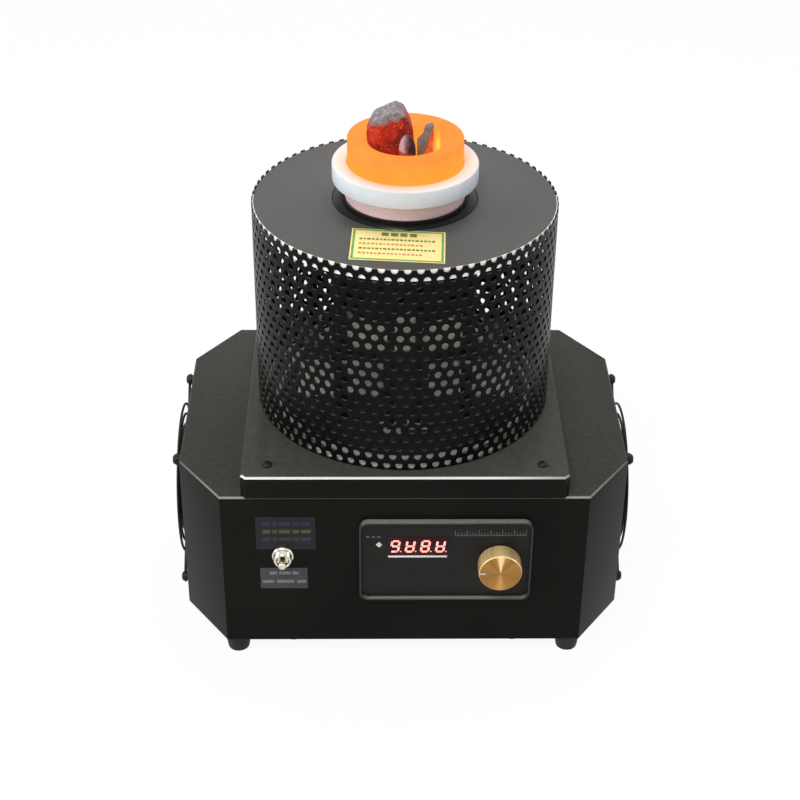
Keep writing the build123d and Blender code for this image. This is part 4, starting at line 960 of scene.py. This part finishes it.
# on the tray inside the guard: two pale clamping rings, near white to paint the light seen through the
# guard's lowest holes, and four pale heat-proof bars
paintedLightRings = {"bands": ((87.0, 91.5), (97.0, 100.6)), "level": 156.0, "thickness": 0.5}
low, high = paintedLightRings["level"], paintedLightRings["level"] + paintedLightRings["thickness"]
bands = [
    turned([(inner, low), (outer, low), (outer, high), (inner, high)], 96)
    for inner, outer in paintedLightRings["bands"]
]
settle(joined(bands), "paintedLightRings", "furnace", paintedLightBand)
floorBoard = {
    "bars": ((-40, -14), (19, 44), (-75, -50), (49, 80)), "y": (-12, 33), "level": 156.0, "thickness": 3.0,
}
front, back = floorBoard["y"]
bars = []
for left, right in floorBoard["bars"]:
    place = ((left + right) / 2, (front + back) / 2, floorBoard["level"] + floorBoard["thickness"] / 2)
    bars.append(roundedBlock((right - left, back - front, floorBoard["thickness"]), place, 0.4))
board = joined(bars)
settle(board, "floorBoard", "furnace", fibreSkin)
print("disc, collar and floor of the guard done")


# ---- hot stack

cup = {
    "bottom": 238.0, "tube": 40.4, "flange": 49.0, "flangeBottom": 322.6, "top": 335.0, "bore": 39.1,
    "floor": 242.0, "round": 1.2,
}
edge = cup["round"]
vessel = turned([
    (0, cup["bottom"]), (cup["tube"] - 1, cup["bottom"]), (cup["tube"], cup["bottom"] + 1),
    (cup["tube"], cup["flangeBottom"] - 1.2), (cup["tube"] + 1.2, cup["flangeBottom"]),
    (cup["flange"] - edge, cup["flangeBottom"]), (cup["flange"] - 0.35, cup["flangeBottom"] + 0.35),
    (cup["flange"], cup["flangeBottom"] + edge), (cup["flange"], cup["top"] - edge),
    (cup["flange"] - 0.35, cup["top"] - 0.35), (cup["flange"] - edge, cup["top"]),
    (cup["bore"] + 0.6, cup["top"]), (cup["bore"], cup["top"] - 0.6), (cup["bore"], cup["floor"]),
    (0, cup["floor"]),
], 128)
settle(vessel, "ceramicCup", "cup", ceramicSkin, ["ceramic_cup"])

pot = {
    "bottom": 242.0, "radius": 38.7, "top": 352.5, "land": 4.2, "mouth": 25.3, "dish": 2.6, "floor": 258.0,
    "round": 0.9,
}
crucible = turned([
    (0, pot["bottom"]), (pot["radius"], pot["bottom"]), (pot["radius"], pot["top"] - pot["round"]),
    (pot["radius"] - 0.3, pot["top"] - 0.3), (pot["radius"] - pot["round"], pot["top"]),
    (pot["radius"] - pot["land"], pot["top"]), (pot["mouth"] + 1.2, pot["top"] - pot["dish"] + 0.4),
    (pot["mouth"], pot["top"] - pot["dish"] - 0.8), (pot["mouth"], pot["floor"]), (0, pot["floor"]),
], 96)
settle(crucible, "graphiteCrucible", "crucible", graphiteSkin, ["graphite_crucible"])


lumps = {
    "metalBlock": {
        "node": "charge_block", "skin": blockSkin, "voxel": 0.8, "rounds": 14, "clouds": 7, "depth": 0.9,
        "stretch": (1.04, 1.03, 0.955), "middle": (40, 0, 318),
    },
    "metalSlab": {
        "node": "charge_slab", "skin": slabSkin, "voxel": 0.6, "rounds": 6, "clouds": 6, "depth": 0.5,
        "stretch": (1.13, 1, 1), "middle": (20, 0, 318),
    },
}


def hotLump(name, node, skin, voxel, rounds, clouds, depth, stretch, middle):
    # a node's shape remeshed, rounded, stretched about a point and roughened by a cloud pattern
    piece = bpy.data.objects.new(name, cadNodes[node].data.copy())
    bpy.context.scene.collection.objects.link(piece)
    inEditMode(piece, lambda: bpy.ops.mesh.remove_doubles(threshold=1e-6))
    addModifier(piece, "REMESH", mode="VOXEL", voxel_size=voxel * mm)
    addModifier(piece, "SMOOTH", iterations=rounds, factor=0.5)
    for vertex in piece.data.vertices:
        for axis in range(3):
            vertex.co[axis] = middle[axis] * mm + (vertex.co[axis] - middle[axis] * mm) * stretch[axis]
    pattern = bpy.data.textures.new(name, "CLOUDS")
    pattern.noise_scale = clouds * mm
    addModifier(
        piece, "DISPLACE", texture=pattern, strength=depth * mm, mid_level=0.75, texture_coords="LOCAL",
    )
    return settle(piece, name, "crucible", skin, [node], 60)


for lumpName, lump in lumps.items():
    hotLump(lumpName, **lump)
bullet = {"x": 0.8, "y": -13.0, "bottom": 293.0, "radius": 5.7, "top": 359.0}
slug = turned([
    (0, bullet["bottom"]), (bullet["radius"], bullet["bottom"]), (bullet["radius"], bullet["top"] - 11),
    (bullet["radius"] - 0.5, bullet["top"] - 7), (bullet["radius"] - 1.6, bullet["top"] - 3.6),
    (bullet["radius"] - 3.2, bullet["top"] - 1.2), (bullet["radius"] - 4.8, bullet["top"] - 0.2),
    (0, bullet["top"]),
], 28)
slug.location = (bullet["x"] * mm, bullet["y"] * mm, 0)
settle(slug, "metalBullet", "crucible", bulletSkin, ["charge_cone"], 60)
print("hot stack done")


# ---- control panel

panel = {
    "front": -111.0, "x": 28.3, "top": 121.0, "width": 118.6, "height": 67.2, "rim": 1.4, "proud": 5.0,
    "recess": 3.4, "corner": 6.5, "edge": 0.45, "plateBack": -112.5, "plateThickness": 0.5,
}
panelMiddle = panel["top"] - panel["height"] / 2


def roundedPanel(width, height, corner, back, depth):
    # an upright sheet with round corners, drawn forward into a slab; its front face stays selected
    deselectAll()
    bpy.ops.mesh.primitive_plane_add(
        size=1, location=(panel["x"] * mm, back * mm, panelMiddle * mm), rotation=(pi / 2, 0, 0),
    )
    sheet = bpy.context.object
    sheet.scale = (width * mm, height * mm, 1)
    applyPlace(sheet)
    bpy.ops.object.mode_set(mode="EDIT")
    bpy.ops.mesh.select_all(action="SELECT")
    bpy.ops.mesh.bevel(offset=corner * mm, segments=8, affect="VERTICES")
    bpy.ops.mesh.select_all(action="SELECT")
    bpy.ops.mesh.extrude_region_move(TRANSFORM_OT_translate={"value": (0, -depth * mm, 0)})
    return sheet


bezel = roundedPanel(panel["width"], panel["height"], panel["corner"], panel["front"], panel["proud"])
bpy.ops.mesh.inset(thickness=panel["rim"] * mm)
bpy.ops.mesh.extrude_region_move(TRANSFORM_OT_translate={"value": (0, panel["recess"] * mm, 0)})
bpy.ops.object.mode_set(mode="OBJECT")
inEditMode(bezel, lambda: bpy.ops.mesh.normals_make_consistent(inside=False))
addModifier(
    bezel, "BEVEL", width=panel["edge"] * mm, segments=3, limit_method="ANGLE", angle_limit=radians(50),
)
settle(bezel, "controlBezel", "furnace", bezelPlastic, ["control_bezel"], 40)
inside = 2 * panel["rim"]
plate = roundedPanel(
    panel["width"] - inside, panel["height"] - inside, panel["corner"] - panel["rim"],
    panel["plateBack"], panel["plateThickness"],
)
bpy.ops.object.mode_set(mode="OBJECT")
inEditMode(plate, lambda: bpy.ops.mesh.normals_make_consistent(inside=False))
settle(plate, "controlFaceplate", "furnace", faceplateSkin, ["control_faceplate"])

window = {"x": 9.1, "y": -112.3, "z": 99.3, "size": (41.4, 2.6, 14.8)}
glass = roundedBlock(window["size"], (window["x"], window["y"], window["z"]), 0.4, 3)
settle(glass, "displayWindow", "furnace", displaySkin, ["display_window"])
ledge = {"size": (40.5, 0.4, 1.6), "y": -113.4, "z": 90.6}
strip = roundedBlock(ledge["size"], (window["x"], ledge["y"], ledge["z"]), 0.2)
settle(strip, "windowLedge", "furnace", inkWhite)
lamp = {"size": (3.2, 2.6, 3.2), "place": (-17.4, -112.3, 100.7)}
lens = roundedBlock(lamp["size"], lamp["place"], 0.3, 2, (0, pi / 4, 0))
settle(lens, "statusLamp", "furnace", lampSkin, ["status_lamp"])

digits = {
    "centres": (-6.4, 3.9, 14.3, 24.6), "z": 99.5, "height": 9.0, "width": 5.0, "stroke": 1.5, "slant": 0.13,
    "face": -113.62, "thickness": 0.14, "point": 0.8, "pointGap": 1.9,
    "lit": ("abcdfg", "bcdefg", "abcdefg", "bcdefg"),
}


def segmentDigit(centre, lit):
    half, side = digits["height"] / 2, digits["width"] / 2
    places = {
        "a": (0, half, 0), "g": (0, 0, 0), "d": (0, -half, 0), "f": (-side, half / 2, 1),
        "b": (side, half / 2, 1), "e": (-side, -half / 2, 1), "c": (side, -half / 2, 1),
    }
    parts = []
    for segment in lit:
        across, up, upright = places[segment]
        long = half - digits["stroke"] * 0.55 if upright else digits["width"] - digits["stroke"] * 0.7
        wide, tall = (digits["stroke"], long) if upright else (long, digits["stroke"])
        size = (wide, digits["thickness"], tall)
        parts.append(roundedBlock(size, (centre + across, digits["face"], digits["z"] + up), 0.3))
    point = (digits["point"], digits["thickness"], digits["point"])
    place = (centre + side + digits["pointGap"], digits["face"], digits["z"] - half)
    parts.append(roundedBlock(point, place, 0.3))
    return parts


strokes = []
for centre, lit in zip(digits["centres"], digits["lit"]):
    strokes += segmentDigit(centre, lit)
figures = joined(strokes)
for vertex in figures.data.vertices:       # the figures lean to the right
    vertex.co.x += digits["slant"] * (vertex.co.z - digits["z"] * mm)
settle(figures, "displayDigits", "furnace", segmentSkin)

knob = {
    "x": 65.5, "z": 85.5, "back": -113.6, "radius": 14.95, "length": 12.8, "flutes": 90, "fluteDepth": 0.2,
    "chamfer": 0.7, "dish": 0.35,
}


def powerKnob():
    reach, length = knob["radius"], knob["length"]
    body = turned([
        (3.2, 9.4), (3.2, 3.6), (8.6, 3.6), (8.6, 0), (reach - 0.6, 0), (reach - 0.2, 0.4),
        (reach - 0.2, 1.2),
        (reach, 1.6), (reach, length - 2.6), (reach - 0.15, length - 2.3), (reach - 0.15, length - 1.2),
        (reach - 0.4, length - 0.5), (reach - knob["chamfer"], length),
        (reach * 0.5, length - knob["dish"] * 0.5),
        (0, length - knob["dish"]), (0, 9.4),
    ], 2 * knob["flutes"])
    low, high = 1.5 * mm, (length - 2.5) * mm
    for vertex in body.data.vertices:      # every other upright line of the rim sinks, which knurls it
        flat = Vector((vertex.co.x, vertex.co.y, 0))
        if low < vertex.co.z < high and flat.length > (reach - 0.1) * mm:
            step = round(Vector((1, 0)).angle_signed(Vector(flat[:2]), 0) / (pi / knob["flutes"]))
            if step % 2:
                vertex.co.x *= 1 - knob["fluteDepth"] / reach
                vertex.co.y *= 1 - knob["fluteDepth"] / reach
    body.rotation_euler = (pi / 2, 0, 0)
    body.location = (knob["x"] * mm, knob["back"] * mm, knob["z"] * mm)
    return body


settle(powerKnob(), "powerKnob", "knob", goldSkin, ["power_knob"], 28)
pointer = roundedBlock((4.2, 0.12, 0.8), (knob["x"] - 12.0, knob["back"] - knob["length"], knob["z"]), 0.05)
settle(pointer, "knobPointer", "knob", inkWhite)

scale = {"from": 34.5, "to": 83.0, "z": 110.6, "ticks": 25, "face": -113.03}
ticks = []
for index in range(scale["ticks"]):
    tall = 4.4 if index % 4 == 0 else 2.4
    spot = scale["from"] + (scale["to"] - scale["from"]) * index / (scale["ticks"] - 1)
    ticks.append(roundedBlock((0.55, 0.08, tall), (spot, scale["face"], scale["z"] - 2.2 + tall / 2), 0))
ticks.append(roundedBlock(
    (scale["to"] - scale["from"] + 0.55, 0.08, 0.45),
    ((scale["from"] + scale["to"]) / 2, scale["face"], scale["z"] - 2.4), 0,
))
settle(joined(ticks), "panelScale", "furnace", inkPanel)
dashes = [roundedBlock((2.2, 0.08, 1.4), (x, scale["face"], 107.2), 0) for x in (-25.2, -21.4, -17.6)]
settle(joined(dashes), "panelDashes", "furnace", inkPanel)
print("control panel done")


# ---- toggle switch

toggle = {"x": -83.5, "z": 90.0, "front": -111.0, "nut": 7.8, "bush": 5.9, "bore": 4.4, "proud": 7.4}
frontTurn = Matrix.Rotation(pi / 2, 4, "X")


def onFront(piece, x, y, z):
    piece.data.transform(frontTurn)
    piece.location = (x * mm, y * mm, z * mm)
    return piece


nut = turned([
    (6.1, 0), (toggle["nut"], 0), (toggle["nut"], 1.3), (toggle["nut"] - 0.5, 2.1),
    (toggle["nut"] - 1.2, 2.5), (6.5, 2.6), (6.1, 2.3),
], 48)
onFront(nut, toggle["x"], toggle["front"], toggle["z"])
settle(nut, "toggleNut", "furnace", brightChrome, ["toggle_nut"])
threads = []
for turnIndex in range(6):
    start = 0.4 + turnIndex * 1.1
    threads += [(toggle["bush"], start), (toggle["bush"] - 0.35, start + 0.55)]
bush = turned([
    (toggle["bore"], -1), (toggle["bush"], -1), *threads, (toggle["bush"], toggle["proud"] - 0.5),
    (toggle["bush"] - 0.5, toggle["proud"]), (toggle["bore"] + 0.4, toggle["proud"]),
    (toggle["bore"], toggle["proud"] - 0.4),
], 48)
onFront(bush, toggle["x"], toggle["front"], toggle["z"])
applyPlace(bush)
box = roundedBlock((15, 18, 28), (toggle["x"], -100.8, toggle["z"]), 0.6)
settle(joined([bush, box]), "toggleBush", "furnace", brightChrome, ["toggle_body"])
lever = {"tilt": 0, "pivotY": -113.5}
bat = turned([
    (0, -1.9), (1.4, -1.4), (1.9, 0), (1.95, 2.4), (2.15, 4.8), (2.5, 7.4), (2.85, 9.2), (2.8, 10.1),
    (2.3, 10.8), (1.3, 11.1), (0, 11.2),
], 32)
bat.rotation_euler = (pi / 2 + radians(lever["tilt"]), 0, 0)
bat.location = (toggle["x"] * mm, lever["pivotY"] * mm, toggle["z"] * mm)
applyPlace(bat)
pin = rod(0.95, 10.4, (toggle["x"], lever["pivotY"], toggle["z"]), (0, pi / 2, 0))
settle(joined([bat, pin]), "toggleLever", "toggle", brightChrome, ["toggle_lever"], 50)
print("toggle done")


# ---- printed plates beside the switch and the card on the disc: plain rules, no words

def flatPlate(size, place, material, name):
    plate = roundedBlock(size, place, 0.12)
    return settle(plate, name, "furnace", material)


upperPlate = {
    "x": (-101.4, -60.7), "z": (95.2, 123.0), "rules": ((117.2, "violet"), (110.6, "olive"), (104.2, "grey")),
    "ruleLength": 33,
}
width = upperPlate["x"][1] - upperPlate["x"][0]
middle = sum(upperPlate["x"]) / 2
bottom, top = upperPlate["z"]
flatPlate(
    (width, 0.3, top - bottom), (middle, -111.15, (bottom + top) / 2), plateViolet,
    "upperPlate",
)
ruleInks = {"violet": inkViolet, "olive": inkOlive, "grey": inkGrey}


def brokenRule(x, y, z, length, height, gaps, thickness=0.06):
    # a rule broken into unequal dashes
    pieces, spot = [], x - length / 2
    total = sum(gaps)
    for index, part in enumerate(gaps):
        run = length * part / total
        if index % 2 == 0:
            pieces.append(roundedBlock((run, thickness, height), (spot + run / 2, y, z), 0))
        spot += run
    return joined(pieces)


dashPattern = (5, 1, 3, 1, 7, 1, 4, 1, 6)
for z, ink in upperPlate["rules"]:
    rule = brokenRule(middle + 0.5, -111.33, z, upperPlate["ruleLength"], 3.0, dashPattern)
    settle(rule, "upperRule_" + ink, "furnace", ruleInks[ink])
flatPlate((32.7, 0.3, 18.0), (-83.15, -111.15, 70.0), plateGrey, "lowerPlate")
for index, (z, length) in enumerate(((74.6, 20), (67.2, 30))):
    rule = brokenRule(-83.15, -111.33, z, length, 2.6, (4, 1, 6, 1, 3))
    settle(rule, f"lowerRule_{index}", "furnace", inkPale)

card = {
    "corners": ((-35.0, -45.5), (25.5, -51.5), (23.6, -93.6), (-37.0, -88.0)), "level": 307.74,
    "thickness": 0.2, "ink": 0.04,
}


def cardPoint(u, v):
    # u runs from left to right and v from top to bottom of the card
    topLeft, topRight, bottomRight, bottomLeft = (Vector(corner) for corner in card["corners"])
    return topLeft.lerp(topRight, u).lerp(bottomLeft.lerp(bottomRight, u), v)


def cardPatch(u0, u1, v0, v1, lift, thickness):
    # a thin plate between four points of the card
    deselectAll()
    bpy.ops.mesh.primitive_cube_add(size=1)
    patch = bpy.context.object
    for vertex in patch.data.vertices:
        spot = cardPoint(u0 if vertex.co.x < 0 else u1, v1 if vertex.co.y < 0 else v0)
        level = card["level"] + lift + (thickness if vertex.co.z > 0 else 0)
        vertex.co = (spot.x * mm, spot.y * mm, level * mm)
    return patch


paper = cardPatch(0, 1, 0, 1, 0, card["thickness"])
addModifier(paper, "BEVEL", width=0.1 * mm, segments=2, limit_method="ANGLE")
settle(paper, "cardSheet", "furnace", cardPaper)
lift = card["thickness"]
borders = [
    cardPatch(*spread, lift, card["ink"]) for spread in (
        (0.015, 0.985, 0.02, 0.06), (0.015, 0.985, 0.94, 0.98),
        (0.015, 0.04, 0.06, 0.94), (0.96, 0.985, 0.06, 0.94),
    )
]
settle(joined(borders), "cardBorder", "furnace", cardGreen)
title = [cardPatch(u, u + 0.075, 0.1, 0.21, lift, card["ink"]) for u in (0.32, 0.42, 0.52, 0.62)]
settle(joined(title), "cardTitle", "furnace", cardOlive)
dashWidths = (0.032, 0.022, 0.038, 0.028, 0.034, 0.024)
for row, (v, ink) in enumerate(((0.3, cardOlive), (0.45, cardRust), (0.6, cardOlive), (0.75, cardRust))):
    marks, u, step = [], 0.09, row
    while u < (0.86 if row % 2 == 0 else 0.74):
        dash = dashWidths[step % len(dashWidths)]
        marks.append(cardPatch(u, u + dash, v, v + 0.055, lift, card["ink"]))
        u += dash + 0.013
        step += 1
    settle(joined(marks), f"cardRow_{row}", "furnace", ink)
print("plates and card done")


# ---- rear panel

inletBody = softenedCopy("power_inlet", 0.6, 2)
settle(inletBody, "powerInlet", "furnace", switchPlastic, ["power_inlet"])
rockerHousing = softenedCopy("rocker_frame", 0.6, 2)
settle(rockerHousing, "rockerFrame", "furnace", switchPlastic, ["rocker_frame"])
rockerCap = softenedCopy("mains_rocker", 0.5, 3)
settle(rockerCap, "mainsRocker", "rocker", switchPlastic, ["mains_rocker"])
inletScrew = panHead(3.6, 2.2)
inletHeads = [
    copyOf(inletScrew, Matrix.Rotation(-pi / 2, 4, "X"), (x, 113.5, 45.0)) for x in (46.0, 86.0)
]
bpy.data.objects.remove(inletScrew)
settle(joined(inletHeads), "inletScrewHeads", "furnace", blackSteel, ["inlet_screws"])
print("rear done")


# ---- stage, light and camera

def paleStage():
    deselectAll()
    bpy.ops.mesh.primitive_plane_add(size=12)
    floor = bpy.context.object
    floor.name = "floor"
    material = bpy.data.materials.new("paleFloor")
    material.use_nodes = True
    tree = material.node_tree
    tree.nodes.clear()
    output = tree.nodes.new("ShaderNodeOutputMaterial")
    diffuse = tree.nodes.new("ShaderNodeBsdfDiffuse")
    diffuse.inputs["Color"].default_value = (0.9, 0.9, 0.9, 1)
    white = tree.nodes.new("ShaderNodeEmission")
    white.inputs["Strength"].default_value = 1.0
    mix = tree.nodes.new("ShaderNodeMixShader")
    paths = tree.nodes.new("ShaderNodeLightPath")
    share = tree.nodes.new("ShaderNodeMath")
    share.operation = "MULTIPLY"
    share.inputs[1].default_value = 0.94
    seen = tree.nodes.new("ShaderNodeMath")
    seen.operation = "MAXIMUM"
    tree.links.new(paths.outputs["Is Camera Ray"], seen.inputs[0])
    tree.links.new(paths.outputs["Is Glossy Ray"], seen.inputs[1])
    tree.links.new(seen.outputs[0], share.inputs[0])
    tree.links.new(share.outputs[0], mix.inputs[0])
    tree.links.new(diffuse.outputs[0], mix.inputs[1])
    tree.links.new(white.outputs[0], mix.inputs[2])
    tree.links.new(mix.outputs[0], output.inputs["Surface"])
    floor.data.materials.append(material)

    world = bpy.data.worlds.new("paleStudio")
    bpy.context.scene.world = world
    world.use_nodes = True
    sky = world.node_tree
    ground = sky.nodes["Background"]
    ground.inputs["Color"].default_value = (1, 1, 1, 1)
    rays = sky.nodes.new("ShaderNodeLightPath")
    direct = sky.nodes.new("ShaderNodeMath")
    direct.operation = "MAXIMUM"
    both = sky.nodes.new("ShaderNodeMath")
    both.operation = "MAXIMUM"
    level = sky.nodes.new("ShaderNodeMapRange")
    level.inputs["To Min"].default_value = 0.42
    level.inputs["To Max"].default_value = 1.0
    sky.links.new(rays.outputs["Is Camera Ray"], direct.inputs[0])
    sky.links.new(rays.outputs["Is Glossy Ray"], direct.inputs[1])
    sky.links.new(direct.outputs[0], both.inputs[0])
    sky.links.new(rays.outputs["Is Transmission Ray"], both.inputs[1])
    sky.links.new(both.outputs[0], level.inputs["Value"])
    sky.links.new(level.outputs["Result"], ground.inputs["Strength"])


def softLamp(name, place, target, size, power):
    data = bpy.data.lights.new(name, "AREA")
    data.shape = "RECTANGLE"
    data.size, data.size_y = size
    data.energy = power
    lamp = bpy.data.objects.new(name, data)
    bpy.context.scene.collection.objects.link(lamp)
    lamp.location = place
    lamp.rotation_euler = (Vector(target) - Vector(place)).to_track_quat("-Z", "Y").to_euler()


paleStage()
softLamp("keyLamp", (-0.5, -1.3, 2.1), (0, 0, 0.2), (0.9, 0.5), 23)
softLamp("topLamp", (0.2, 0.7, 2.2), (0, 0, 0.2), (1.4, 1.0), 22)
softLamp("sideLamp", (2.0, -0.3, 0.9), (0, 0, 0.2), (0.8, 0.8), 5)
softLamp("fillLamp", (-1.9, -0.7, 0.9), (0, 0, 0.3), (0.8, 0.8), 17)
softLamp("frontLamp", (-0.2, -1.9, 1.35), (0, 0, 0.2), (0.7, 0.7), 5)

camera = {
    "place": (-22.1, -1019.9, 809.1), "yaw": 0.0198, "pitch": 0.5771, "roll": 0.0106, "lens": 75.47,
    "sensor": 36.0,
}


def photoCamera():
    yaw, pitch, roll = camera["yaw"], camera["pitch"], camera["roll"]
    forward = Vector((sin(yaw) * cos(pitch), cos(yaw) * cos(pitch), -sin(pitch)))
    right = Vector((cos(yaw), -sin(yaw), 0))
    up = right.cross(forward)
    tiltedRight = cos(roll) * right + sin(roll) * up
    tiltedUp = -sin(roll) * right + cos(roll) * up
    data = bpy.data.cameras.new("photoCamera")
    data.lens = camera["lens"]
    data.sensor_width = camera["sensor"]
    data.clip_start, data.clip_end = 0.05, 50
    eye = bpy.data.objects.new("photoCamera", data)
    bpy.context.scene.collection.objects.link(eye)
    eye.matrix_world = Matrix((
        (tiltedRight.x, tiltedUp.x, -forward.x, camera["place"][0] * mm),
        (tiltedRight.y, tiltedUp.y, -forward.y, camera["place"][1] * mm),
        (tiltedRight.z, tiltedUp.z, -forward.z, camera["place"][2] * mm),
        (0, 0, 0, 1),
    ))
    bpy.context.scene.camera = eye


photoCamera()
bpy.context.scene.view_settings.view_transform = "Standard"
print("stage, light and camera done")
